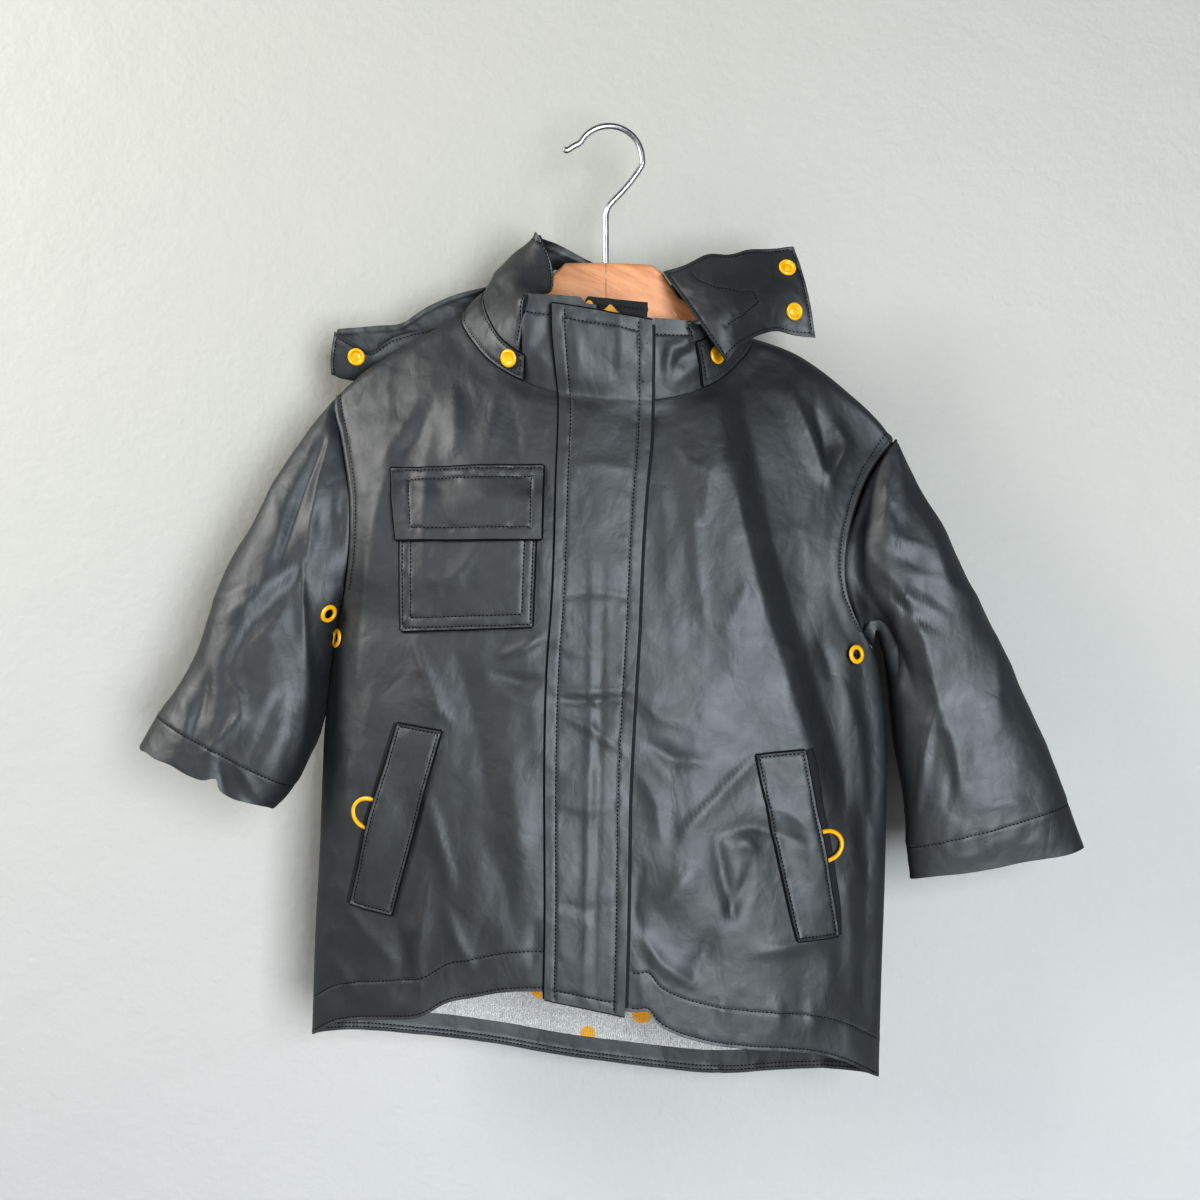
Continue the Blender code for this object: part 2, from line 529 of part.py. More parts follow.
HOOD_KEYS = (2.35, 4.2, 6, 8, 10, 12, 14)  # where the tables' columns stand round the neck
HOOD_SIDE = {  # the standing part of the hood, above the collar: lower, upper and top edge
    -1: (
        ((-39.5, -29, -113), (-39.5, -23, -95), (-48, -18, -75)),
        ((-59, -27, -107), (-53, -20, -91), (-50.5, -14, -71.5)),
        ((-70, -16, -99), (-61, -10, -84), (-51, -4, -70.5)),
        ((-76, -3, -94.5), (-64, 3, -81), (-47, 7, -70)),
        ((-74, 9, -91), (-58, 14, -81), (-36, 17, -72)),
        ((-60, 20, -88), (-42, 22, -83), (-18, 24, -80)),
        ((-38, 26, -87), (-22, 27, -86), (-4, 27.5, -86)),
    ),
    1: (
        ((60, -42, -136), (61, -41, -134), (62, -40, -132)),
        ((66, -34, -126), (66, -32, -122), (66.5, -30, -118)),
        ((70, -22, -117), (70, -19, -112), (70, -17, -107)),
        ((75, -8, -108), (75, -6, -103), (74, -5, -98)),
        ((76, 5, -104), (75, 7, -99), (72, 8, -96)),
        ((68, 16, -102), (66, 18, -98), (62, 19, -95)),
        ((46, 24, -100), (44, 25, -97), (40, 25.5, -94)),
    ),
}


def hood_side(side, k, rows):
    """The part of the hood that stands round one side of the neck, from its band upwards."""
    q = k if side < 0 else 32 - k
    first = curve(k, BAND_TOP[side]) + 0.03
    low = [collar(q, first + (1 - first) * h, np.full(k.shape, 0.8 + WALL)) for h in (0, 0.5, 1)]
    low[2][:, 2] += (3 if side < 0 else -3) * smooth(k, 4.4, 2.6)
    table = np.array(HOOD_SIDE[side], float)
    high = [np.stack([curve(k, list(zip(HOOD_KEYS, table[:, r, c]))) for c in range(3)], -1) for r in range(3)]
    stack = np.stack([low[2]] + high)
    where = np.linspace(0, 3, rows + 1)[1:]
    flat = stack.reshape(4, -1)
    upper = np.stack([curve(where, list(zip(range(4), flat[:, c]))) for c in range(flat.shape[1])], -1)
    return np.concatenate([np.stack(low), upper.reshape((rows,) + low[0].shape)])


k = np.array((2.35, 3, 3.6, 4.2, 5, 6, 7, 8, 9, 10, 11, 12, 13, 14))
cloth("hood_side_right", hood_side(-1, k, 6), (20, 10, -120, 0), wall=1.4)
cloth("hood_side_left", hood_side(1, k, 3), (-20, 10, -130, 0), wall=1.4)

HOOD_BACK = (  # z, half width, half depth of the part that hangs behind
    (-97, 62, 8), (-108, 78, 12), (-126, 92, 15), (-150, 101, 16), (-180, 103, 16), (-212, 96, 15), (-240, 80, 13), (-262, 56, 11), (-276, 30, 8), (-281, 12, 5),
)
turn = np.arange(19) * 2 * np.pi / 18
rings = []
for z, half, deep in HOOD_BACK:
    x = half * np.sign(np.cos(turn)) * np.abs(np.cos(turn)) ** 0.85
    rest = max(float(body_y(0.0, min(z, -150), False)) + 0.35, 28.5 if z > -110 else 0)
    if z > -140:
        rest = max(rest, 22.5 + (z + 140) * 0.2)
    rings.append(hang(x, rest + deep - deep * np.sin(turn), z + 0 * x))
cloth("hood_back", np.array(rings), (0, 38, -180, 0), closed=True)

TAB_RIGHT = (  # across the tab behind the shoulder: back edge, back, fold, front, front edge
    ((-84, 13, -101.5), (-87, 17, -112), (-92, 16, -128), (-91, 11.5, -122), (-88, 10.5, -115)),
    ((-105, 14, -106.5), (-107, 18.5, -122), (-108, 16, -141), (-107, 11, -135), (-105, 9.6, -128)),
    ((-124, 15, -114.5), (-125, 19.5, -131), (-127, 16, -149), (-126, 10.8, -142), (-125, 9, -131)),
    ((-141, 16, -125), (-143, 20.5, -141), (-146, 16, -157.5), (-145.5, 10.4, -150), (-145, 7.6, -136.5)),
    ((-158, 16, -126.8), (-159.5, 20, -145), (-161, 15.5, -162.5), (-160.5, 10, -157), (-159.5, 6.2, -146.3)),
    ((-171, 15, -128.2), (-173, 19, -146), (-174, 15, -163.5), (-173, 9.6, -156), (-171.5, 5, -141)),
    ((-183.5, 14, -129.4), (-186.5, 17.5, -145), (-187.6, 14, -160.5), (-187.4, 8.6, -150), (-184, 4, -133)),
)
cloth("chin_tab_right", spline_grid(TAB_RIGHT, 14, 10), (-140, 14, -142, 0), wall=1.4)

TAB_LEFT = (  # down the tab over the shoulder, from its inner to its outer edge
    ((33, -12, -97), (43.5, -28.8, -116), (54, -44.7, -135), (71.8, -49.5, -161.6)),
    ((47, -16, -93.5), (57, -35.6, -113), (67, -46.8, -133), (78.5, -45.5, -153)),
    ((62, -15.5, -86), (70, -34, -106), (78, -43, -127), (86, -37.5, -147)),
    ((76, -13.5, -86), (83, -28, -104), (89, -34.5, -123), (95, -28, -141)),
    ((89, -10.5, -82), (96, -20, -101), (102, -25, -119), (107, -19, -137)),
    ((103, -8, -81), (110, -14.5, -99), (115, -18, -118), (119, -14.5, -139)),
    ((119, -6, -79), (124, -10, -95), (128.5, -13, -115), (132.5, -12.5, -140)),
)
tab_left = spline_grid(TAB_LEFT, 12, 9)
cloth("chin_tab_left", tab_left, (0, -1, 0.2))

# ---- snaps and eyelets ----
SNAP = ((0, 0.5), (5.2, 0.5), (5.7, 0.9), (5.3, 1.9), (3.9, 2.3), (3.3, 1.6), (0, 1.5))
RING_SNAP = ((0, 0.5), (5.2, 0.5), (5.75, 1.0), (5.2, 2.3), (4.1, 2.6), (3.2, 1.1), (0, 1.0))


def near(grid, x, z):
    """The point of a grid that lies nearest to x, z, and the grid's normal there."""
    far = np.hypot(grid[..., 0] - x, grid[..., 2] - z)
    i, j = np.unravel_index(np.argmin(far), far.shape)
    i, j = min(max(i, 1), grid.shape[0] - 2), min(max(j, 1), grid.shape[1] - 2)
    du, dv = grid[i + 1, j] - grid[i - 1, j], grid[i, j + 1] - grid[i, j - 1]
    n = np.cross(du, dv)
    n /= np.linalg.norm(n)
    n *= -np.sign(n[1])
    y = grid[i, j, 1] - (n[0] * (x - grid[i, j, 0]) + n[2] * (z - grid[i, j, 2])) / n[1]
    return np.array((x, y, z)), n


fine = spline_grid(TAB_LEFT, 60, 45)
for name, x, z in (("snap_tab_left_upper", 113.6, -94.6), ("snap_tab_left_lower", 117.4, -123.7)):
    turned(name, RING_SNAP, *near(fine, x, z))
fine = spline_grid([row[2:] for row in TAB_RIGHT], 60, 24)
turned("snap_tab_right", RING_SNAP, *near(fine, -169.6, -149.2))
for name, k, up, side in (("snap_band_right", 2.75, 0.2, -1), ("snap_band_left", 3.8, 0.37, 1)):
    q = k if side < 0 else 32 - k
    qq, hh = np.meshgrid(q + np.array((-0.3, 0, 0.3)), up + np.array((-0.09, 0, 0.09)), indexing="ij")
    g = collar(qq, hh, np.full(qq.shape, 0.6 + WALL))
    n = np.cross(g[2, 1] - g[0, 1], g[1, 2] - g[1, 0])
    n /= np.linalg.norm(n)
    n *= -np.sign(n[1])
    turned(name, SNAP, g[1, 1], n)

EYELET = ((3.0, 0.3), (6.1, 0.3), (6.2, 0.9), (5.0, 1.7), (3.6, 1.5), (3.0, 0.9))


def cut(target, centre, normal, radius=3.4, sides=14):
    """A round hole through the cloth."""
    cutter = turned("cut_" + target.name, ((0, -6), (radius, -6), (radius, 6), (0, 6)), centre, normal, sides)
    cutter.hide_render = True
    cutter.display_type = "WIRE"
    hole = target.modifiers.new("eyelet_" + cutter.name, "BOOLEAN")
    hole.operation = "DIFFERENCE"
    hole.solver = "EXACT"
    hole.object = cutter


for side, name in ((-1, "right"), (1, "left")):
    x, z = (164.3, -334.0) if side > 0 else (-165.5, -349.0)
    p = lifted(np.array(x), np.array(z), 0.15 if side > 0 else 0.5)
    outer = lifted(np.array(x), np.array(z), 3.0)
    turned(f"eyelet_body_{name}", EYELET, p, outer - p, sides=18, ring=True)
    cut(bpy.data.objects[f"front_{name}"], p, outer - p)
    k0, w0 = (1.95, 11.25) if side < 0 else (2.3, 15.2)
    ks, ws = np.meshgrid(np.array((-0.25, 0, 0.25)) + k0, np.array((-0.5, 0, 0.5)) + w0, indexing="ij")
    g = sleeve(side, ks, ws)
    n = np.cross(g[2, 1] - g[0, 1], g[1, 2] - g[1, 0])
    n /= np.linalg.norm(n)
    away = g[1, 1] - np.array((side * 205.0, -8, -300))
    n *= np.sign(np.dot(n, away))
    turned(f"eyelet_sleeve_{name}", EYELET, g[1, 1] + 0.55 * n, n, sides=18, ring=True)
    cut(bpy.data.objects[f"sleeve_{name}"], g[1, 1], n)

# ---- the hanger ----
ARM = {  # x from the joint, z of the top and bottom edge, half thickness
    -1: ((-4.15, -89, -121, 5.6), (-20, -88.9, -124, 5.6), (-31, -89.2, -127, 5.6), (-37, -94.8, -131, 5.6), (-48, -110, -137, 5.6), (-62, -117.5, -143, 5.6), (-80, None, -151, 5.6), (-97, None, -160, 5.6), (-115, None, -170, 5.6), (-133, None, -181, 5.5), (-148, None, -188, 5), (-156, None, -187, 3.6)),
    1: ((-3.85, -89, -121, 5.6), (14, -89.6, -125, 5.6), (26.5, -90.4, -129, 5.6), (33.5, -95.8, -133, 5.6), (44, -112, -140, 5.6), (58, -121, -148, 5.6), (76, None, -157, 5.6), (94, None, -167, 5.6), (112, None, -176, 5.6), (130, None, -185, 5.5), (145, None, -192, 5), (153, None, -194, 3.6)),
}
SECTION = ((0.0, 1), (0.55, 0.96), (1, 0.8), (1, 0.2), (0.55, 0.04), (0, 0), (-0.55, 0.04), (-1, 0.2), (-1, 0.8), (-0.55, 0.96))
for side, name in ((-1, "hanger_arm_right"), (1, "hanger_arm_left")):
    bm = bmesh.new()
    loops = []
    for x, top, low, half in ARM[side]:
        if top is None:
            xs, _ = unhang(x, -150.0)
            s0 = float(two_sided(np.array(xs), SHOULDER))
            xs, _ = unhang(x, s0 - 0.075 * x)
            s0 = float(two_sided(np.array(xs), SHOULDER))
            top = s0 - 0.075 * x - 4.0
        loops.append([bm.verts.new((x * MM, half * a * MM, (low + (top - low) * b) * MM)) for a, b in SECTION])
    for a, b in zip(loops, loops[1:]):
        for k in range(len(SECTION)):
            m = (k + 1) % len(SECTION)
            bm.faces.new((a[k], a[m], b[m], b[k]))
    bm.faces.new(loops[0][::-1])
    bm.faces.new(loops[-1])
    bmesh.ops.recalc_face_normals(bm, faces=bm.faces)
    wood = mesh_object(name, bm)
    cut(wood, np.array((-4.0, 0, -88)), (0, 0, 1), radius=2.35)

arc = [(-2 + 22.0 * np.cos(t), 0, -20.2 + 22.2 * np.sin(t)) for t in np.radians(np.linspace(-10, 150, 15))]
hook = [(-4, 0, -93.5), (-4, 0, -74), (-4, 0, -58), (-3.4, 0, -53), (0.5, 0, -48), (8, 0, -40), (14.5, 0, -32)]
hook += arc
hook += [(-25.5, 0, -11.5), (-29.5, 0, -14), (-31.5, 0, -13.5)]
tube("hook", hook, 2.0, sides=10)
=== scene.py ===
# %% [markdown]
# # A child's raincoat on its hanger
#
# The coat is cut from cloth with a thin rubbery coating. Such cloth is smooth and a
# little stiff, so it hangs in broad soft folds, and small sharp creases cross them
# where it was packed. It is made here the way a sewing room makes it: each cut piece is
# a surface of its own, with its stitched lines, its folded edges and its fittings.
#
# The construction solids are loaded first. Every piece below stands for one of them,
# and lies where that one lies, so a few of the coat's measures come back in this file.

import bmesh
import bpy
import numpy as np
from mathutils import Matrix, Vector


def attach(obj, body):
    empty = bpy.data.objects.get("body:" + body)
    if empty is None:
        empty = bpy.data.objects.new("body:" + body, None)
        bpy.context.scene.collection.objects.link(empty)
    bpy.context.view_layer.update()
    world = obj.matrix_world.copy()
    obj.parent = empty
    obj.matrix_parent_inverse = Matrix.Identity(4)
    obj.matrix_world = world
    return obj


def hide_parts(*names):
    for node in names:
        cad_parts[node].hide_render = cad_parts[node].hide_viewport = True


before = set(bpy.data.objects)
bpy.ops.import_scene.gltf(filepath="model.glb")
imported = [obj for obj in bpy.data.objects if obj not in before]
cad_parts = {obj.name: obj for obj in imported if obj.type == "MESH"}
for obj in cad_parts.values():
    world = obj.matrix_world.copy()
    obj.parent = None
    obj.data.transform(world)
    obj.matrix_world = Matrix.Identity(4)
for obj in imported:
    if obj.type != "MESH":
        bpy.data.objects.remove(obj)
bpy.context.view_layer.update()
MM = 0.001
scene = bpy.context.scene

# %% [markdown]
# ## Camera, wall and light
#
# The coat hangs in front of a pale painted wall, and soft daylight falls on it from the
# upper left. A camera at chest height, a metre away, looks straight at it. The wall is
# drawn on its front only, so that the coat can be seen from behind too.

# %% Camera
camera = bpy.data.objects.new("camera", bpy.data.cameras.new("camera"))
scene.collection.objects.link(camera)
camera.location = (-0.0079, -0.950, -0.3109)
camera.rotation_euler = (np.pi / 2, 0, 0)
camera.data.sensor_width = 36
camera.data.lens = 43.18
scene.camera = camera
scene.view_settings.view_transform = "Standard"
scene.view_settings.look = "High Contrast"

# %% A small language for shader maths
class Signal:
    """One output in a material, which can be used in sums."""

    def __init__(self, finish, socket):
        self.finish, self.socket = finish, socket

    def maths(self, operation, *terms):
        return self.finish.add("Math", {"operation": operation}, dict(enumerate(terms)))

    def __add__(self, other):
        return self.maths("ADD", self, other)

    __radd__ = __add__

    def __sub__(self, other):
        return self.maths("SUBTRACT", self, other)

    def __rsub__(self, other):
        return self.maths("SUBTRACT", other, self)

    def __mul__(self, other):
        return self.maths("MULTIPLY", self, other)

    def __abs__(self):
        return self.maths("ABSOLUTE", self)

    def clipped(self, low, high):
        """0 below low, 1 above high and a soft step between."""
        inputs = {"Value": self, "From Min": low, "From Max": high}
        return self.finish.add("MapRange", {"interpolation_type": "SMOOTHSTEP"}, inputs)


class Finish:
    """A material that is written as a few lines of maths."""

    def __init__(self, name, **fixed):
        self.material = bpy.data.materials.new(name)
        self.material.use_nodes = True
        self.nodes, self.links = self.material.node_tree.nodes, self.material.node_tree.links
        self.shader = self.nodes["Principled BSDF"]
        self.set(**fixed)

    def add(self, kind, settings=None, inputs=None, out=0):
        """A node of this kind: its settings first, then its inputs, by name or number."""
        node = self.nodes.new("ShaderNode" + kind)
        for key, value in (settings or {}).items():
            setattr(node, key, value)
        for key, value in (inputs or {}).items():
            self.feed(node.inputs[key], value)
        return Signal(self, node.outputs[out])

    def feed(self, socket, value):
        if isinstance(value, Signal):
            self.links.new(value.socket, socket)
        else:
            socket.default_value = value

    def set(self, **inputs):
        for key, value in inputs.items():
            self.feed(self.shader.inputs[key.replace("_", " ")], value)

    def place(self):
        return self.add("TexCoord", out=3)

    def cloth_place(self):
        return self.add("UVMap", {"uv_map": "cut"})

    def mapped(self, place, scale=(1, 1, 1), turn=(0, 0, 0)):
        return self.add("Mapping", None, {"Vector": place, "Scale": scale, "Rotation": turn})

    def cloud(self, place, scale, detail=3.0, rough=0.5, bend=0.0):
        """Soft noise, about 0 to 1."""
        amounts = {"Scale": scale, "Detail": detail, "Roughness": rough, "Distortion": bend}
        return self.add("TexNoise", None, {"Vector": place, **amounts})

    def bands(self, place, way, scale, bend=0.0, detail=2.0):
        """Soft stripes across the way, X or Y."""
        amounts = {"Scale": scale, "Distortion": bend, "Detail": detail}
        settings = {"wave_type": "BANDS", "bands_direction": way}
        return self.add("TexWave", settings, {"Vector": place, **amounts})

    def blend(self, share, first, second):
        """first where share is 0 and second where it is 1. Both are colours."""
        pick = [c if isinstance(c, Signal) else (*c, 1) for c in (first, second)]
        return self.add("Mix", {"data_type": "RGBA"}, {0: share, 6: pick[0], 7: pick[1]}, out=2)

    def relief(self, *layers):
        """Bumps laid on each other, each (height, depth in metres)."""
        normal = None
        for height, depth in layers:
            inputs = {"Height": height, "Distance": depth, "Strength": 1.0}
            if normal:
                inputs["Normal"] = normal
            normal = self.add("Bump", None, inputs)
        self.set(Normal=normal)


# %% The wall and the floor
def linked(mesh, *materials):
    """Puts a mesh into the scene, under its own name."""
    for material in materials:
        mesh.materials.append(material)
    made = bpy.data.objects.new(mesh.name, mesh)
    scene.collection.objects.link(made)
    return made


def closed_mesh(name, bm):
    mesh = bpy.data.meshes.new(name)
    bm.to_mesh(mesh)
    bm.free()
    return mesh


def painted(name, low, high, roughness):
    """Paint that is clear from behind, with a low and a high colour. The change from the low colour
    at the bottom to the high one at the top is painted light.
    """
    paint = Finish(name, Roughness=roughness)
    place = paint.place()
    patches = paint.cloud(place, 2.2, 4)
    # Painted light: the colour goes from low to high with height, standing in for how the two
    # windows tint and light the wall.
    height = paint.add("SeparateXYZ", None, {0: place}, out=2).clipped(-1.1, 0.15)
    tone = paint.blend(height, low, high)
    paint.set(Base_Color=paint.blend(patches * 0.3, tone, tuple(c * 0.85 for c in high)))
    paint.relief((paint.cloud(place, 170, 3, 0.55), 0.0006), (paint.cloud(place, 16, 3), 0.0022))
    behind = paint.add("NewGeometry", out=6)
    clear = paint.add("BsdfTransparent")
    front_side = Signal(paint, paint.shader.outputs[0])
    both = paint.add("MixShader", None, {0: behind, 1: front_side, 2: clear})
    paint.links.new(both.socket, paint.nodes["Material Output"].inputs["Surface"])
    return paint.material


def flat_panel(name, size, place, turn, material):
    bm = bmesh.new()
    bmesh.ops.create_grid(bm, x_segments=1, y_segments=1, size=size)
    bmesh.ops.transform(bm, matrix=Matrix.Translation(place) @ turn, verts=bm.verts)
    linked(closed_mesh(name, bm), material)


ROOM = 3.0  # half the wall's and the floor's width, in metres
# The wall's tones low down and high up. The change between them is painted light: cooler below,
# where the front window's cool light falls, and darker and warmer above, under the warm side
# window.
WALL_PAINTED_LIGHT_TONES = (0.365, 0.363, 0.365), (0.305, 0.298, 0.272)
FLOOR_TONE = (0.62, 0.62, 0.61)
upright = Matrix.Rotation(np.pi / 2, 4, "X")
flat_panel("wall", ROOM, (0, 0.064, 0), upright, painted("wall_paint", *WALL_PAINTED_LIGHT_TONES, 0.7))
floor_paint = painted("floor_paint", FLOOR_TONE, FLOOR_TONE, 0.6)
flat_panel("floor", ROOM, (0, 0.064 - ROOM, -1.25), Matrix.Identity(4), floor_paint)

# %% Daylight from the upper left, and from a second window in front
def lamp(name, place, aim, size, power, colour):
    light = bpy.data.objects.new(name, bpy.data.lights.new(name, "AREA"))
    light.data.shape = "RECTANGLE"
    light.data.size, light.data.size_y = size
    light.data.energy, light.data.color = power, colour
    light.location = place
    light.rotation_euler = (Vector(aim) - Vector(place)).to_track_quat("-Z", "Y").to_euler()
    scene.collection.objects.link(light)


WARM, COOL = (1.0, 0.99, 0.96), (0.89, 0.95, 1.0)
lamp("side_window", (-1.25, -0.64, 0.34), (0, 0, -0.34), (0.55, 0.8), 22, WARM)
lamp("front_window", (0.62, -1.85, -0.36), (0.06, 0, -0.40), (0.75, 1.25), 52, COOL)
scene.world = bpy.data.worlds.new("room_air")
scene.world.use_nodes = True
air = scene.world.node_tree.nodes["Background"]
air.inputs["Color"].default_value = (0.90, 0.93, 0.98, 1)
air.inputs["Strength"].default_value = 0.09

# %% [markdown]
# ## The measures of the cut
#
# These tables are the pattern: where the shoulder, side seam, hem and neck run, and how
# far the body stands out in front and behind. They are in millimetres, in a frame of the
# coat's own, with x from the middle and z down from the hook. The coat hangs a little
# lower on one side, and `hang` turns a point of the pattern to where it really is.

# %% The pattern's tables
WALL = 1.6  # the solids' cloth
RIDGE = 8.0  # radius of the cloth over the hanger's arm

SHOULDER = {  # x, z of the seam
    -1: (
        (0, -113), (60, -121), (94, -131), (109, -138.5), (126, -149.5), (147, -163.5), (157, -171),
        (169, -182.5), (178, -192), (190, -206)
    ),
    1: (
        (0, -113), (60, -120), (94, -131), (109, -134.5), (124, -139.5), (147, -153), (159, -162),
        (174, -174), (183, -183), (190, -192), (200, -206)
    ),
}
HALF = {  # z, x of the armhole and then of the side seam
    -1: (
        (-192, 178), (-205, 175), (-218, 171), (-235, 167), (-256, 162.8), (-276, 161.5),
        (-297, 162), (-317, 164.8), (-332, 168.5), (-352, 171), (-376, 173.5), (-404, 176),
        (-440, 177), (-484, 177.5), (-540, 179), (-607, 179.5)
    ),
    1: (
        (-192, 190), (-205, 180), (-218, 172), (-235, 165), (-251, 160.3), (-267, 157.5),
        (-284, 157.2), (-300, 160.5), (-316, 168), (-332, 178), (-352, 183), (-376, 186.5),
        (-404, 188.3), (-440, 188.8), (-484, 188.8), (-540, 188.2), (-607, 188)
    ),
}
EDGE = (  # z, how far the panel's edge lies in front of the ridge, and behind it
    (-185, 0, 0), (-192, 0, 0), (-200, 1.2, -0.2), (-208, 3.8, 0.4), (-218, 7, 1), (-230, 11, 1.6),
    (-243, 15, 1.8), (-256, 18.2, 1.6), (-268, 20.2, 1), (-281, 21, -0.6), (-294, 20.2, -3.4),
    (-307, 18, -7.6), (-320, 13.6, -13.8), (-332, 8.6, -21.4), (-352, 8.45, -21.55),
    (-607, 8.45, -21.55),
)
DEPTH = (  # z, depth of the front and of the back at the centre
    (-110, 52, 15), (-184, 52, 16), (-230, 54, 17), (-280, 56, 19), (-330, 57, 21), (-400, 58, 22),
    (-460, 60, 23), (-540, 61, 25), (-607, 59, 26),
)
HEM = {  # x, z
    -1: (
        (-12, -555.5), (7, -555.5), (29, -555.8), (52, -558.5), (74, -565), (90, -570),
        (104, -579.5), (128, -585.6), (149, -590), (165, -596), (179.5, -607)
    ),
    1: (
        (-12, -563), (1, -563), (29, -564.5), (36, -564), (42, -571), (52, -576.5), (70, -581.5),
        (93, -584.5), (124, -586), (145, -588.5), (165, -594.5), (188, -607)
    ),
}
BACK_HEM = (
    (-188, -607), (-160, -607.5), (-139, -609), (-116, -611.3), (-90, -613.4), (-64, -616.1),
    (-31, -620.4), (15, -623.7), (49, -625.1), (84, -624.4), (101, -622.2), (126, -616.6),
    (152, -611.5), (188, -607)
)
BACK_NECK = ((0, -146), (30, -145), (60, -142), (80, -138), (90, -134.2), (94, -131))
CENTRE = {-1: 7.0, 1: 1.0}  # where each front ends, beside the zip

FRONT_ROWS = (  # z at the outer edge, then x and z at the neck and the centre line
    (-192, 94, -131), (-193.1, 94, -132.1), (-196, 94, -135), (-200.5, 93.6, -139.5),
    (-208, 90.5, -145), (-218, 84, -153), (-230, 76, -161.5), (-243, 65, -169.5),
    (-256, 50, -176.5), (-268, 32, -181.5), (-281, None, -184), (-294, None, -192),
    (-307, None, -203), (-320, None, -217), (-332, None, -233), (-352, None, -258),
    (-378, None, -290), (-408, None, -328), (-440, None, -370), (-474, None, -413),
    (-508, None, -457), (-542, None, -500), (-576, None, -534), (-607, None, -558),
)

BACK_ROWS = (
    -192, -193.1, -196, -200.5, -208, -218, -230, -243, -256, -268, -281, -294, -307, -320, -332,
    -356, -388, -424, -462, -500, -538, -574, -607
)

FOLDS = (  # x, z to x, z, how wide, how far out
    (-140, -372, -60, -455, 28, 1.8),
    (-75, -470, -60, -560, 28, 1.6),
    (96, -300, 42, -440, 28, 1.8),
    (150, -352, 70, -470, 28, 1.8),
    (62, -440, 130, -545, 28, 1.6),
)

NECK = (  # x and z of the seam at the front (body), then x, y, z of the collar's top
    (None, -184, None, -45.5, -126), (32, -181.5, 33, -45.5, -126), (50, -176.5, 47.5, -44.5, -126),
    (65, -169.5, 53.8, -40.5, -125.5), (76, -161.5, 57.5, -34, -124), (84, -153, 61, -27, -121),
    (90.5, -145, 64, -20, -118), (93.6, -139.5, 67, -13, -114), (94, -135, 68.5, -8, -111.5),
    (94, -132.1, 69.5, -4, -109), (94, -131, 70, 0, -107), (90.5, -134, 69, 6, -104.5),
    (83, -137.2, 65, 11, -102), (70, -140.2, 56, 15.5, -99.5), (48, -143, 38, 19, -97),
    (24, -145.2, 19, 21, -95.5), (0, -146, 0, 21.5, -95),
)

SLEEVE = {  # outer x, z; inner x, z; y at both; half the depth in front and behind
    -1: (
        (-187, -184, -177.5, -313, -2, -14, 24, 14), (-198, -199, -184.5, -325, -4, -11, 26, 17),
        (-214.6, -223.4, -189, -341, -7, -8, 28, 20), (-237, -263, -193, -361, -10, -7, 30, 21),
        (-255, -300, -197, -381, -13, -10, 31, 21), (-269, -343, -202, -401, -17, -16, 30, 20),
        (-289.5, -381, -211, -423, -22, -24, 27, 18), (-302.5, -404, -223, -439, -26, -28, 23, 17),
    ),
    1: (
        (188, -208, 172, -331, -2, -14, 24, 14), (200, -232, 177.5, -348, -4, -11, 26, 17),
        (214, -258, 180, -364, -7, -6, 28, 20), (234.4, -303, 183, -388, -9, -5, 28, 20),
        (255.3, -347, 186, -415, -11, -7, 26, 18), (276.2, -392.5, 190.5, -440, -12, -11, 24, 16),
        (292, -434, 191.5, -466, -14, -12, 21, 14), (306, -471.5, 193, -491.5, -15, -13, 17, 13),
    ),
}

LEFT_OF_FLAP = (
    (-128, -34.8), (-146, -33.6), (-166, -31), (-182, -29.4), (-240, -29), (-316, -29.4),
    (-350, -31.2), (-420, -31.2), (-463, -30), (-506, -28.8), (-560, -28.2)
)
RIGHT_OF_FLAP = (
    (-134, 28.1), (-165, 28.8), (-211, 29), (-236, 27), (-268, 25.4), (-331, 23.9), (-388, 22),
    (-431, 21), (-502, 21.6), (-567, 21.4)
)

WELT = {
    -1: ((-96.8, -401), (-124.5, -398.5), (-152, -515.5), (-125.7, -519)),
    1: ((99, -401), (127.7, -396), (156, -512.8), (128.2, -515.5))
}
RING = {-1: (-137.6, -458.2), 1: (141, -457)}  # where the ring comes out of the welt

BAND_TOP = {  # how much of the collar's height the hood's band covers, round the neck
    -1: ((0, 0.3), (2.2, 0.32), (3, 0.36), (5, 0.46), (7, 0.56), (10, 0.66), (12, 0.6), (16, 0.5)),
    1: ((0, 0.68), (2.8, 0.68), (4, 0.7), (6, 0.72), (8, 0.72), (10, 0.7), (12, 0.6), (16, 0.5)),
}
BAND_START = {-1: 2.1, 1: 2.75}

HOOD_KEYS = (2.35, 4.2, 6, 8, 10, 12, 14)  # where the tables' columns stand round the neck
HOOD_SIDE = {  # the standing part of the hood, above the collar: lower, upper and top edge
    -1: (
        ((-39.5, -29, -113), (-39.5, -23, -95), (-48, -18, -75)),
        ((-59, -27, -107), (-53, -20, -91), (-50.5, -14, -71.5)),
        ((-70, -16, -99), (-61, -10, -84), (-51, -4, -70.5)),
        ((-76, -3, -94.5), (-64, 3, -81), (-47, 7, -70)),
        ((-74, 9, -91), (-58, 14, -81), (-36, 17, -72)),
        ((-60, 20, -88), (-42, 22, -83), (-18, 24, -80)),
        ((-38, 26, -87), (-22, 27, -86), (-4, 27.5, -86)),
    ),
    1: (
        ((60, -42, -136), (61, -41, -134), (62, -40, -132)),
        ((66, -34, -126), (66, -32, -122), (66.5, -30, -118)),
        ((70, -22, -117), (70, -19, -112), (70, -17, -107)),
        ((75, -8, -108), (75, -6, -103), (74, -5, -98)),
        ((76, 5, -104), (75, 7, -99), (72, 8, -96)),
        ((68, 16, -102), (66, 18, -98), (62, 19, -95)),
        ((46, 24, -100), (44, 25, -97), (40, 25.5, -94)),
    ),
}

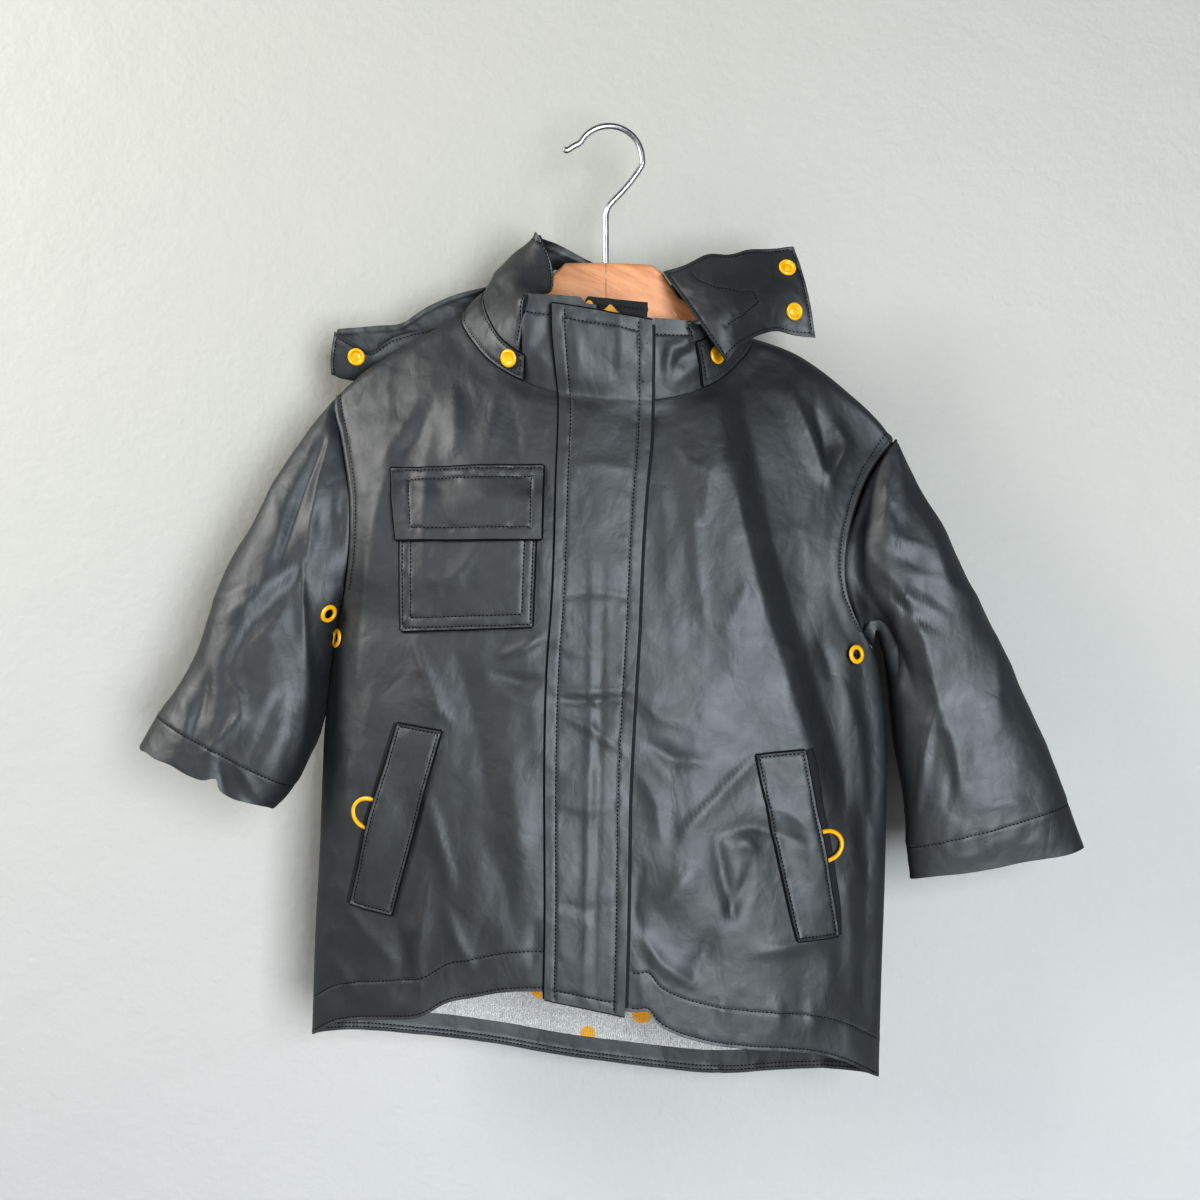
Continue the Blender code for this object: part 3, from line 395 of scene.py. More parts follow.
HOOD_BACK = (  # z, half width, half depth of the part that hangs behind
    (-97, 62, 8), (-108, 78, 12), (-126, 92, 15), (-150, 101, 16), (-180, 103, 16), (-212, 96, 15),
    (-240, 80, 13), (-262, 56, 11), (-276, 30, 8), (-281, 12, 5),
)

TAB_RIGHT = (  # across the tab behind the shoulder: back edge, back, fold, front, front edge
    ((-84, 13, -101.5), (-87, 17, -112), (-92, 16, -128), (-91, 11.5, -122), (-88, 10.5, -115)),
    ((-105, 14, -106.5), (-107, 18.5, -122), (-108, 16, -141), (-107, 11, -135), (-105, 9.6, -128)),
    ((-124, 15, -114.5), (-125, 19.5, -131), (-127, 16, -149), (-126, 10.8, -142), (-125, 9, -131)),
    (
        (-141, 16, -125), (-143, 20.5, -141), (-146, 16, -157.5), (-145.5, 10.4, -150),
        (-145, 7.6, -136.5)
    ),
    (
        (-158, 16, -126.8), (-159.5, 20, -145), (-161, 15.5, -162.5), (-160.5, 10, -157),
        (-159.5, 6.2, -146.3)
    ),
    (
        (-171, 15, -128.2), (-173, 19, -146), (-174, 15, -163.5), (-173, 9.6, -156),
        (-171.5, 5, -141)
    ),
    (
        (-183.5, 14, -129.4), (-186.5, 17.5, -145), (-187.6, 14, -160.5), (-187.4, 8.6, -150),
        (-184, 4, -133)
    ),
)

TAB_LEFT = (  # down the tab over the shoulder, from its inner to its outer edge
    ((33, -12, -97), (43.5, -28.8, -116), (54, -44.7, -135), (71.8, -49.5, -161.6)),
    ((47, -16, -93.5), (57, -35.6, -113), (67, -46.8, -133), (78.5, -45.5, -153)),
    ((62, -15.5, -86), (70, -34, -106), (78, -43, -127), (86, -37.5, -147)),
    ((76, -13.5, -86), (83, -28, -104), (89, -34.5, -123), (95, -28, -141)),
    ((89, -10.5, -82), (96, -20, -101), (102, -25, -119), (107, -19, -137)),
    ((103, -8, -81), (110, -14.5, -99), (115, -18, -118), (119, -14.5, -139)),
    ((119, -6, -79), (124, -10, -95), (128.5, -13, -115), (132.5, -12.5, -140)),
)

ARM = {  # x from the joint, z of the top and bottom edge, half thickness
    -1: (
        (-4.15, -89, -121, 5.6), (-20, -88.9, -124, 5.6), (-31, -89.2, -127, 5.6),
        (-37, -94.8, -131, 5.6), (-48, -110, -137, 5.6), (-62, -117.5, -143, 5.6),
        (-80, None, -151, 5.6), (-97, None, -160, 5.6), (-115, None, -170, 5.6),
        (-133, None, -181, 5.5), (-148, None, -188, 5), (-156, None, -187, 3.6)
    ),
    1: (
        (-3.85, -89, -121, 5.6), (14, -89.6, -125, 5.6), (26.5, -90.4, -129, 5.6),
        (33.5, -95.8, -133, 5.6), (44, -112, -140, 5.6), (58, -121, -148, 5.6),
        (76, None, -157, 5.6), (94, None, -167, 5.6), (112, None, -176, 5.6),
        (130, None, -185, 5.5), (145, None, -192, 5), (153, None, -194, 3.6)
    ),
}

# %% Curves through the tables
def curve(x, rows):
    """A smooth curve through rows of (x, y), flat outside them."""
    xs, ys = np.array(rows, float).T
    if xs[0] > xs[-1]:
        xs, ys = xs[::-1], ys[::-1]
    x = np.clip(x, xs[0], xs[-1])
    slope = np.gradient(ys, xs)
    i = np.clip(np.searchsorted(xs, x) - 1, 0, len(xs) - 2)
    h = xs[i + 1] - xs[i]
    t = (x - xs[i]) / h
    return (
        ys[i] * (1 + 2 * t) * (1 - t) ** 2
        + h * slope[i] * t * (1 - t) ** 2
        + ys[i + 1] * t * t * (3 - 2 * t)
        + h * slope[i + 1] * t * t * (t - 1)
    )


def hang(x, y, z):
    x = x - 5 + 0.025 * (z + 200)
    return np.stack(np.broadcast_arrays(x, y, z - 0.075 * x), -1).astype(float)


def unhang(x, z):
    z = z + 0.075 * x
    return x + 5 - 0.025 * (z + 200), z


def smooth(x, a, b):
    t = np.clip((x - a) / (b - a), 0, 1)
    return t * t * (3 - 2 * t)


def humped(t):
    """0 at t = 0 and 1, and 1 half way between."""
    return np.sin(np.pi * np.clip(t, 0, 1))


def unit(vectors):
    return vectors / np.maximum(np.linalg.norm(vectors, axis=-1, keepdims=True), 1e-9)


def ridge(drop):
    d = np.clip(drop, 0, RIDGE)
    return np.sqrt(np.maximum(RIDGE**2 - (RIDGE - d) ** 2, 0))


def by_side(x, z, rows):
    """A curve of z, from the table of the side on which x lies."""
    return np.where(x < 0, curve(z, rows[-1]), curve(z, rows[1]))


def two_sided(x, rows):
    """A curve of |x| that differs between the coat's two sides."""
    return by_side(x, np.abs(x), rows)


def nearest(x, z, start, end):
    """How far along a segment x, z lies, and how far it is off that place."""
    (x0, z0), (x1, z1) = start, end
    dx, dz = x1 - x0, z1 - z0
    t = np.clip(((x - x0) * dx + (z - z0) * dz) / (dx * dx + dz * dz), 0, 1)
    return t, x - x0 - t * dx, z - z0 - t * dz


def folds(x, z):
    out = 0.0
    for x0, z0, x1, z1, wide, high in FOLDS:
        t, off_x, off_z = nearest(x, z, (x0, z0), (x1, z1))
        along = 0.35 + 0.65 * np.sin(np.pi * (0.1 + 0.8 * t))
        out = out + high * np.exp(-((np.hypot(off_x, off_z) / wide) ** 2)) * along
    return out


def body_y(x, z, front):
    """Depth of the body's outer face at a point of its own frame."""
    x, z = np.broadcast_arrays(np.asarray(x, float), np.asarray(z, float))
    drop = np.maximum(two_sided(x, SHOULDER) - z, 0)
    half = by_side(x, z, HALF)
    t = np.clip(np.abs(x) / half, 0, 1)
    lens = (1 - t**2.4) ** 0.72
    column, reach, bend = (1, 60, 1.25) if front else (2, 90, 1.2)
    edge = curve(z, [(row[0], row[column]) for row in EDGE])
    deep = curve(z, [(row[0], row[column]) for row in DEPTH]) - RIDGE
    grow = 1 - np.exp(-((drop / reach) ** bend))
    y = ridge(drop) + edge * (1 - lens) + deep * grow * lens
    if not front:
        return y
    free = smooth(lens, 0.05, 0.4) * smooth(drop, 12, 60) * smooth(np.abs(x + 3), 22, 46)
    return -(y + folds(x, z) * free)

# %% [markdown]
# ## The surfaces of the cut pieces
#
# Each piece of the coat is a function from two numbers, one along the piece and one
# across it, to a point of the air. The front and back follow the pattern's depth, the
# collar rises from the neck seam, and a sleeve goes round from the shoulder. A table of
# a few points is filled in by a smooth patch, where a shape is free, as on the tabs.

# %% Front and back
UNDERARM = 14  # the row of a front where the armhole ends


NECK_X, NECK_Z = BACK_NECK[-1]  # where the shoulder seam meets the neck
TIP_Z, HEM_Z = FRONT_ROWS[0][0], FRONT_ROWS[-1][0]  # the shoulder's tip, and the side's end


def shoulder_bow(side, x):
    """How far the shoulder seam bows above a straight line."""
    fall = (TIP_Z - NECK_Z) / (HALF[side][0][1] - NECK_X)
    return curve(x, SHOULDER[side]) - (NECK_Z + (x - NECK_X) * fall)


def front_xz(side, v, f):
    """A point of a front: v counts its rows down, and f goes from 0 inside to 1 outside."""
    n = np.arange(len(FRONT_ROWS))
    out, inner_x, inner_z = (np.array(c, float) for c in zip(*FRONT_ROWS))
    inner_x = np.where(np.isnan(inner_x), CENTRE[side], inner_x)
    zo, zi = np.interp(v, n, out), curve(v, list(zip(n, inner_z)))
    neck_x = curve(v, list(zip(n[:11], inner_x[:11])))
    xi = np.where(v < 9, neck_x, np.interp(v, n, inner_x))
    xo = curve(zo, HALF[side])
    x, z = xi + (xo - xi) * f, zi + (zo - zi) * f
    bow = shoulder_bow(side, x) - shoulder_bow(side, xo) * (x - NECK_X) / (xo - NECK_X)
    kept = np.interp(v, (0, 3, 4, 5, 6, 7, 8, 10), (1, 1, 0.86, 0.7, 0.5, 0.3, 0.15, 0))
    z = z + bow * kept * (x > NECK_X - 0.5)
    low = curve(x, HEM[side])
    middle = FRONT_ROWS[-1][2]
    line = middle + (HEM_Z - middle) * (x - CENTRE[side]) / (xo - CENTRE[side])
    return x, z + (low - line) * smooth(v, 13, 25) / smooth(23, 13, 25)


def front(side):
    def surface(v, f):
        x, z = front_xz(side, v, f)
        return hang(side * x, body_y(side * x, z, True), z)

    return surface


def back_top(side):
    """The back's columns along its top edge: x over the neck first, then over the shoulder."""
    shares = (0.16, 0.33, 0.5, 0.66, 0.8, 0.91, 1)
    over = [NECK_X + (HALF[side][0][1] - NECK_X) * share for share in shares]
    return list(enumerate([0, 24, 48, 70, 83, 90.5, NECK_X] + over))


BACK_TOPS = {side: back_top(side) for side in (-1, 1)}


def back(u, v):
    """u runs -13..13 over the back's columns, v over its rows."""
    side = np.where(u < 0, -1, 1)
    x0 = two_sided(u, BACK_TOPS)
    f = x0 / np.where(u < 0, HALF[-1][0][1], HALF[1][0][1])
    zo = np.interp(v, np.arange(len(BACK_ROWS)), BACK_ROWS)
    top = np.where(x0 <= NECK_X, curve(x0, BACK_NECK), two_sided(x0 * side, SHOULDER))
    straight = np.maximum(np.clip(v / 4, 0, 1) ** 2, smooth(f, 0.7, 0.98))
    x = x0 + (f * by_side(u, zo, HALF) - x0) * straight
    kept = np.interp(v, (0, 3, 5, 8, 12, 16, 22), (1, 1, 0.93, 0.76, 0.47, 0.16, 0))
    z = zo + (top - TIP_Z) * kept
    z = z + (curve(x * side, BACK_HEM) - HEM_Z) * smooth(v, 12, 22)
    return hang(x * side, body_y(x * side, z, False), z)


# %% The collar round the neck
def neck_ends(q):
    """The collar's seam and top at q: 0 is the right front, 16 the back, 32 the left front."""
    side = np.where(q <= 16, -1, 1)
    k = np.where(q <= 16, q, 32 - q)
    cols = []
    for end in CENTRE.values():
        rows = np.array([[end if n is None else n for n in row] for row in NECK], float)
        cols.append([curve(k, list(enumerate(column))) for column in rows.T])
    x, z, tx, ty, tz = (np.where(q <= 16, a, b) for a, b in zip(*cols))
    tz = tz - np.where(side > 0, 5.5 * smooth(k, 9, 3), 0)
    x = side * x
    y = np.where(k <= 10, body_y(x, z, True), body_y(x, z, False))
    return hang(x, y, z), hang(side * tx, ty, tz)


def collar(q, h, out=0.0):
    """h is 0 at the neck seam and 1 at the top, and out lifts the point off the collar."""
    q, h = np.broadcast_arrays(np.asarray(q, float), np.asarray(h, float))
    low, high = neck_ends(q)
    a, b = neck_ends(np.clip(q - 0.35, 0, 32)), neck_ends(np.clip(q + 0.35, 0, 32))
    rise = high - low
    length = np.linalg.norm(rise, axis=-1, keepdims=True)
    along = (b[0] + b[1]) - (a[0] + a[1])
    normal = unit(np.cross(rise, along))
    t = (0.1 + h[..., None] * (length - 0.1)) / length
    return low + rise * t + normal * (2.0 * humped(h) + np.broadcast_to(out, h.shape))[..., None]


def centre_y(x, z):
    """Depth of the coat's outer face down the middle, up over the collar's front."""
    x, z = np.broadcast_arrays(np.asarray(x, float), np.asarray(z, float))
    seam = curve(np.abs(x), [(row[0] or 0, row[1]) for row in NECK[:3]])
    low = body_y(x, np.minimum(z, seam), True)
    t = np.clip((z - seam) / (np.where(x < 0, -126.0, -131.5) - seam), 0, 1.2)
    return low + (NECK[0][3] - low) * t - 2.0 * humped(t)


def body_front_y(x, z):
    return body_y(x, z, True)


def lifted(x, z, lift, depth=body_front_y):
    """Points of the coat's front, moved out along its normal."""
    e = 1.5
    p = hang(x, depth(x, z), z)
    du = hang(x + e, depth(x + e, z), z) - hang(x - e, depth(x - e, z), z)
    dv = hang(x, depth(x, z - e), z - e) - hang(x, depth(x, z + e), z + e)
    n = np.cross(dv, du)
    n /= -np.sign(n[..., 1:2]) * np.linalg.norm(n, axis=-1, keepdims=True)
    return p + n * np.broadcast_to(np.asarray(lift, float), p.shape[:-1])[..., None]


# %% Smooth patches through a table of points
def weights(t):
    """The four shares of a smooth curve between two of its points."""
    before, first = (-t + 2 * t**2 - t**3) / 2, (2 - 5 * t**2 + 3 * t**3) / 2
    second, after = (t + 4 * t**2 - 3 * t**3) / 2, (t**3 - t**2) / 2
    return before, first, second, after


def stretched(table):
    """The table with one more row at either end, so that its ends run straight on."""
    return np.concatenate([2 * table[:1] - table[1:2], table, 2 * table[-1:] - table[-2:-1]])


def through(stack, t):
    """Smooth points through a stack of rows, each row shaped as t."""
    stack = stretched(np.array(stack, float))
    i = np.clip(np.floor(t).astype(int), 0, len(stack) - 4)
    total = 0
    for n, share in enumerate(weights(t - i)):
        total = total + np.take_along_axis(stack, (i + n)[None, ..., None], 0)[0] * share[..., None]
    return total


def patch_through(table):
    """A surface through rows and columns of points, from their place in the table."""
    table = stretched(np.array(table, float))
    table = np.swapaxes(stretched(np.swapaxes(table, 0, 1)), 0, 1)

    def surface(a, b):
        a, b = np.broadcast_arrays(np.asarray(a, float), np.asarray(b, float))
        i = np.clip(np.floor(a).astype(int), 0, table.shape[0] - 4)
        j = np.clip(np.floor(b).astype(int), 0, table.shape[1] - 4)
        total = 0
        for m, p in enumerate(weights(a - i)):
            for n, q in enumerate(weights(b - j)):
                total = total + table[i + m, j + n] * (p * q)[..., None]
        return total

    return surface


# %% Sleeves
ARM_STEPS = 8  # places on the armhole from one row of a front to the next
ARM_ROWS = [row[0] for row in FRONT_ROWS[: UNDERARM + 1]]
ARM_Z = np.interp(np.arange(UNDERARM * ARM_STEPS + 1) / ARM_STEPS, range(UNDERARM + 1), ARM_ROWS)
ROUND = 2 * UNDERARM  # how far a sleeve's second number runs, once round


def armhole(side):
    """The armhole's edge, from the shoulder down the front and up the back."""
    x, z = curve(ARM_Z, HALF[side]), ARM_Z
    fore, aft = (hang(side * x, body_y(side * x, z, front), z) for front in (True, False))
    fore[-1, 1] = aft[-1, 1] = (fore[-1, 1] + aft[-1, 1]) / 2
    fore[0, 1] = aft[0, 1] = 0
    dx, dz = np.gradient(x), np.gradient(z)
    out = np.stack([-dz, 0 * x, dx], -1) / np.hypot(dx, dz)[:, None]
    out = np.concatenate([out, out[-2:0:-1]]) * (side, 1, 1)
    out[0], out[len(ARM_Z) - 1] = (side * 0.9, 0, 0), (side, 0, 0)
    return np.concatenate([fore, aft[-2:0:-1]]) + 0.2 * out


def sleeve(side):
    loop = armhole(side)
    places = np.arange(len(loop) + 1) / ARM_STEPS
    span = np.linalg.norm(np.diff(np.vstack([loop, loop[:1]]), axis=0), axis=1)
    half = len(ARM_Z) - 1
    fore, aft = (np.cumsum(part) / part.sum() for part in (span[:half], span[half:]))
    turn = np.pi * np.concatenate([[0], fore, 1 + aft])
    rows = np.array(SLEEVE[side], float)

    def surface(k, w):
        """k counts the rows down from the armhole, w goes round 0..28."""
        k, w = np.broadcast_arrays(np.asarray(k, float), np.asarray(w, float))
        w = np.mod(w, ROUND)
        phi = np.interp(w, places, turn)
        phi = phi + (w * 2 * np.pi / ROUND - phi) * smooth(k, 0, 4)
        first = np.stack([np.interp(w, places, np.append(c, c[0])) for c in loop.T], -1)
        stack = [first]
        c, s = np.cos(phi), np.sin(phi)
        mid = (1 + np.sign(c) * np.abs(c) ** 0.92) / 2
        deep = np.sign(s) * np.abs(s) ** 0.9
        for row, keep in zip(rows, (0.75, 0.45, 0.2, 0, 0, 0, 0, 0)):
            out_x, out_z, in_x, in_z, out_y, in_y, fore_deep, aft_deep = row
            y = in_y + (out_y - in_y) * mid - np.where(s > 0, fore_deep, aft_deep) * deep
            y = y + (first[..., 1] - y) * keep
            stack.append(
                np.stack([in_x + (out_x - in_x) * mid, y, in_z + (out_z - in_z) * mid], -1)
            )
        return through(stack, k)

    return surface


# %% The hood's standing sides and the part that hangs behind
def hood_side(side):
    table = np.array(HOOD_SIDE[side], float)

    def surface(k, r):
        """k goes round the neck and r up: 0 at the band, 2 at the collar's top, 5 at the edge."""
        k, r = np.broadcast_arrays(np.asarray(k, float), np.asarray(r, float))
        first = curve(k, BAND_TOP[side]) + 0.03
        q = k if side < 0 else 32 - k
        stack = [collar(q, first + (1 - first) * h, 0.8 + WALL) for h in (0, 0.5, 1)]
        stack[2][..., 2] -= 3 * side * smooth(k, 4.4, 2.6)
        for row in np.moveaxis(table, 1, 0):
            stack.append(np.stack([curve(k, list(zip(HOOD_KEYS, column))) for column in row.T], -1))
        straight = (smooth(k, 4.6, 7.0) * smooth(-k, -13.5, -11.5) * (side < 0))[..., None]
        for n in (1, 2):
            between = stack[0] + (stack[3] - stack[0]) * n / 3
            stack[n] = stack[n] * (1 - straight) + between * straight
        return through(stack, r)

    return surface


def hood_back(k, turn):
    """k counts the table's rows down, and turn goes round once from 0 to 1."""
    z, half, deep = (curve(k, list(enumerate(column))) for column in zip(*HOOD_BACK))
    angle = np.mod(turn, 1) * 2 * np.pi
    x = half * np.sign(np.cos(angle)) * np.abs(np.cos(angle)) ** 0.85
    rest = body_y(0.0 * z, np.minimum(z, -150), False) + 0.35
    rest = np.maximum(rest, 28.5 * smooth(z, -120, -104))
    rest = np.maximum(rest, (22.5 + (z + 140) * 0.2) * (z > -140))
    return hang(x, rest + deep - deep * np.sin(angle), z)


# %% [markdown]
# ## Creases
#
# Coated cloth doesn't wrinkle evenly. It keeps a few long soft folds, which come from
# how it hangs, and short creases with one sharp side, which come from being packed. Each
# crease here is a stroke through a few points, with its width on either side and its
# height, or its depth where it is a trough. Under the strokes lies a slow uneven swell.

# %% The strokes
FRONT_CREASES = (  # width on one side and the other, height, then the points' x and z
    (5.8, 4.5, 1.2, -118, -189, -130, -214, -140, -235),
    (3.8, 5.8, -1.1, -109, -192, -119, -215, -128, -230),
    (5.1, 4.5, 1.0, -96, -184, -94, -211, -97, -232),
    (5.1, 4.5, 1.1, -68, -186, -71, -210, -74, -226),
    (4.5, 5.1, -1.0, -61, -189, -57, -209, -53, -226),
    (6.4, 10.2, 1.6, -135, -235, -144, -272, -149, -323, -153, -386, -156, -449, -157, -512),
    (5.1, 3.8, 1.5, -116, -343, -109, -363, -98, -387, -91, -395),
    (10.2, 12.8, -1.3, -90, -350, -80, -380, -66, -430, -59, -467),
    (4.5, 3.2, 1.7, -35, -337, -46, -345, -60, -351),
    (3.2, 4.5, -1.7, -35, -364, -49, -366, -67, -362),
    (3.8, 3.8, 0.7, -34, -380, -49, -378, -61, -373),
    (3.8, 5.1, 0.8, -142, -373, -145, -404, -145, -442),
    (3.8, 3.8, -0.7, -152, -380, -156, -424),
    (5.1, 3.8, 1.5, -106, -439, -97, -464, -87, -496),
    (3.8, 5.8, 1.5, -103, -491, -106, -515, -109, -545, -106, -565),
    (5.1, 3.8, 1.2, -91, -510, -83, -529, -73, -547),
    (5.1, 4.5, 1.3, -151, -521, -138, -536, -124, -549),
    (5.1, 5.1, -1.3, -122, -525, -117, -547, -121, -573),
    (10.2, 9.0, 0.9, -61, -404, -50, -441, -41, -478),
    (9.0, 9.0, -0.9, -72, -455, -55, -492, -45, -529),
    (5.1, 4.5, 1.0, -167, -551, -154, -566, -143, -580),
    (5.1, 6.4, 0.9, -162, -500, -164, -532, -166, -563),
    (3.8, 3.2, -0.8, -35, -513, -36, -541),
    (5.1, 5.1, 0.6, -76, -557, -63, -546, -45, -538),
    (26, 19, 4.4, 69, -175, 77, -218, 88, -264, 102, -310, 117, -353, 133, -396, 145, -427),
    (13, 34, -3.2, 87, -170, 97, -216, 107, -266, 122, -309, 141, -358, 157, -407, 164, -444),
    (5.8, 4.5, 2.6, 118, -167, 130, -191, 140, -214, 147, -225),
    (4.5, 5.1, -2.2, 135, -175, 143, -197, 142, -218),
    (3.8, 3.8, 1.8, 149, -184, 156, -199, 147, -219),
    (5.1, 5.1, 0.9, 45, -201, 54, -223, 63, -225),
    (4.5, 4.5, 0.9, 74, -205, 65, -232, 63, -256),
    (5.2, 3.6, 0.6, 57, -256, 60, -288, 66, -327),
    (4.2, 4.2, 0.8, 77, -326, 85, -308, 91, -293),
    (6.4, 6.4, 0.8, 35, -227, 42, -271, 40, -308),
    (4.5, 5.8, -1.5, 32, -399, 48, -407, 69, -407),
    (5.1, 5.1, 0.9, 27, -372, 39, -382, 58, -384),
    (2.6, 6.4, 1.6, 100, -400, 79, -423, 54, -451),
    (5.8, 4.5, -2.0, 76, -454, 81, -478, 88, -503),
    (4.5, 4.5, -1.4, 98, -469, 91, -489, 83, -506),
    (4.5, 4.5, 1.3, 87, -460, 94, -454, 99, -462),
    (10.2, 7.7, 1.6, 63, -471, 52, -486, 42, -501),
    (5.8, 5.8, -1.4, 75, -511, 69, -527, 62, -541),
    (4.5, 5.1, 1.5, 31, -517, 44, -534, 64, -546),
    (4.5, 5.1, -1.3, 74, -453, 99, -445, 132, -454),
    (4.5, 4.5, 0.8, 101, -430, 122, -436, 133, -444),
    (4.5, 4.5, 1.1, 101, -524, 125, -519, 151, -513),
    (5.1, 5.1, 1.2, 28, -418, 38, -435, 41, -457),
    (4.5, 4.5, -1.1, 141, -326, 148, -338, 151, -351),
    (7.7, 5.8, 1.5, 161, -356, 170, -393, 175, -432),
    (5.1, 5.1, -1.2, 172, -437, 177, -475, 176, -506),
    (6.4, 5.8, 1.2, 159, -476, 166, -513, 168, -551),
    (3.2, 3.2, -1.0, 29, -473, 26, -502, 30, -517),
    (3.2, 3.2, 0.8, 34, -561, 31, -539),
    (3.8, 3.8, 0.6, 116, -548, 118, -573),
    (3.8, 3.8, 0.5, 139, -553, 141, -581),
    (3.8, 3.8, 0.5, 81, -548, 84, -570),
    (2.6, 3.2, -0.7, -28, -312, -7, -307, 25, -308),
    (1.9, 2.6, -1.2, -29, -376, -5, -375, 21, -371),
    (2.6, 2.6, 0.8, -29, -370, -5, -369, 23, -365),
    (3.2, 2.6, 0.9, -22, -384, -4, -391, 16, -404),
    (3.2, 3.2, 0.6, -30, -340, -15, -345, 1, -345),
    (1.9, 1.9, 0.5, -6, -287, -4, -375, -4, -469, -4, -557),
    (1.9, 1.9, -0.45, 1, -286, 2, -374, 2, -469, 2, -557),
    (2.6, 3.8, -0.8, -28, -184, -3, -186, 25, -181),
    (3.2, 3.8, 0.5, -24, -231, -2, -227, 23, -229),
    (3.8, 3.8, 0.6, -26, -439, -3, -441, 21, -436),
    (3.8, 3.8, -0.6, -25, -501, -2, -504, 20, -499),
    (3.8, 3.8, 0.6, -20, -143, -16, -162, -18, -179),
    (3.8, 3.8, -0.6, 7, -144, 4, -163, 9, -177),
)
SLEEVE_CREASES = {  # the same, as seen from the front
    -1: (
        (4.5, 5.8, -2.6, -186, -206, -200, -247, -211, -285),
        (3.8, 4.5, 1.5, -180, -196, -188, -228, -193, -260, -194, -283),
        (7.1, 5.8, 1.3, -196, -283, -211, -297, -232, -313, -253, -324),
        (5.8, 7.1, -1.6, -198, -293, -215, -311, -232, -333, -242, -354),
        (3.8, 3.8, 1.9, -242, -357, -234, -371, -233, -384, -243, -397, -255, -408),
        (4.5, 5.1, -1.8, -255, -357, -258, -375, -264, -394),
        (3.2, 3.2, 1.8, -197, -285, -198, -317, -201, -356, -205, -388, -210, -413),
        (4.5, 4.5, -1.6, -212, -367, -219, -389, -228, -412),
        (3.2, 3.8, 1.0, -258, -311, -238, -305, -219, -298),
        (3.8, 3.8, 0.9, -224, -336, -214, -328, -206, -311),
        (4.5, 4.5, 1.0, -276, -368, -266, -384, -270, -404),
        (3.8, 3.8, 1.2, -238, -407, -230, -423, -224, -436),
        (3.2, 3.2, -1.2, -247, -413, -243, -432, -238, -443),
        (3.2, 3.2, 0.9, -177, -209, -174, -234, -177, -260),
        (6.4, 5.1, 0.8, -232, -260, -224, -247, -212, -228),
    ),
    1: (
        (4.5, 10.2, 2.6, 163, -278, 185, -305, 198, -336, 206, -370, 215, -402, 221, -429),
        (4.5, 4.5, -1.6, 157, -292, 174, -324, 188, -356, 194, -375),
        (3.2, 3.2, 1.1, 174, -233, 179, -245, 174, -260),
        (3.2, 3.2, 0.9, 183, -223, 175, -242),
        (3.2, 3.2, -1.0, 177, -247, 185, -260, 181, -271),
        (3.2, 3.8, 1.2, 162, -274, 179, -271, 200, -278),
        (2.6, 3.8, -1.1, 181, -283, 195, -289, 208, -293),
        (2.6, 3.8, -1.5, 179, -310, 193, -322, 211, -331),
        (3.2, 2.6, 1.0, 181, -305, 197, -313, 213, -321),
        (2.6, 3.2, 1.6, 206, -375, 200, -407, 197, -446),
        (3.8, 3.8, -1.0, 212, -388, 216, -420, 213, -448),
        (2.6, 3.2, 0.7, 227, -379, 248, -375),
        (3.2, 3.2, 0.8, 232, -443, 254, -439, 267, -443),
        (3.2, 3.2, 0.7, 245, -448, 240, -461, 243, -476),
        (3.2, 3.2, 0.7, 225, -453, 222, -471),
        (11.5, 11.5, 0.8, 254, -285, 263, -324, 267, -362),
        (6.4, 9.0, 1.0, 193, -247, 206, -273, 216, -305),
    ),
}

# %% How a stroke, a swell and a fine crumple move the cloth
FAR = 1e9  # farther than any place on the coat


def strokes(x, z, table):
    """How far out the strokes push the cloth at x, z."""
    out = np.zeros(np.shape(x))
    for wide_a, wide_b, high, *flat in table:
        points = list(zip(flat[::2], flat[1::2]))
        best = np.full(np.shape(x), FAR)
        side, along = np.zeros(np.shape(x)), np.zeros(np.shape(x))
        for n, (start, end) in enumerate(zip(points, points[1:])):
            t, off_x, off_z = nearest(x, z, start, end)
            far = np.hypot(off_x, off_z)
            near = far < best
            best = np.where(near, far, best)
            turn = (end[0] - start[0]) * off_z - (end[1] - start[1]) * off_x
            side = np.where(near, np.sign(turn), side)
            along = np.where(near, (n + t) / (len(points) - 1), along)
        wide = np.where(side > 0, wide_b, wide_a) * (0.7 + 0.5 * np.sin(np.pi * along))
        crest = 0.55 * np.exp(-((best / wide) ** 2)) + 0.5 * np.exp(-1.5 * best / wide)
        out += high * crest * (0.25 + 0.75 * humped(along) ** 0.7)
    return out


def ruffle(points, size, seed=0):
    """Soft noise between -1 and 1, whose bumps are about size mm apart."""
    p = points / np.asarray(size, float) + 37.2 * (seed + 1)
    i = np.floor(p).astype(np.int64)
    f = p - i
    f = f * f * f * (f * (f * 6 - 15) + 10)
    total = 0.0
    for corner in np.ndindex(2, 2, 2):
        h = seed * 2654435
        for n, prime in enumerate((73856093, 19349663, 83492791)):
            h = h ^ ((i[..., n] + corner[n]) * prime)
        for shift, factor in ((13, 1274126177), (15, 668265263)):
            h = ((h ^ (h >> shift)) * factor) & 0x7FFFFFFF
        share = np.prod(np.where(np.array(corner) == 1, f, 1 - f), axis=-1)
        total = total + (h / 0x3FFFFFFF - 1) * share
    return total


def crumple(points, size, seed=0):
    """Noise with narrow crests, like small creases."""
    bends = np.stack([ruffle(points, size, seed + 5 + n) for n in range(3)], -1)
    bent = points + 0.35 * np.asarray(size, float) * bends
    return 0.45 - np.abs(ruffle(bent, size, seed)) * 1.6


NECK_LINE = np.array([(CENTRE[1] if r[0] is None else r[0], r[1]) for r in NECK[:11]])


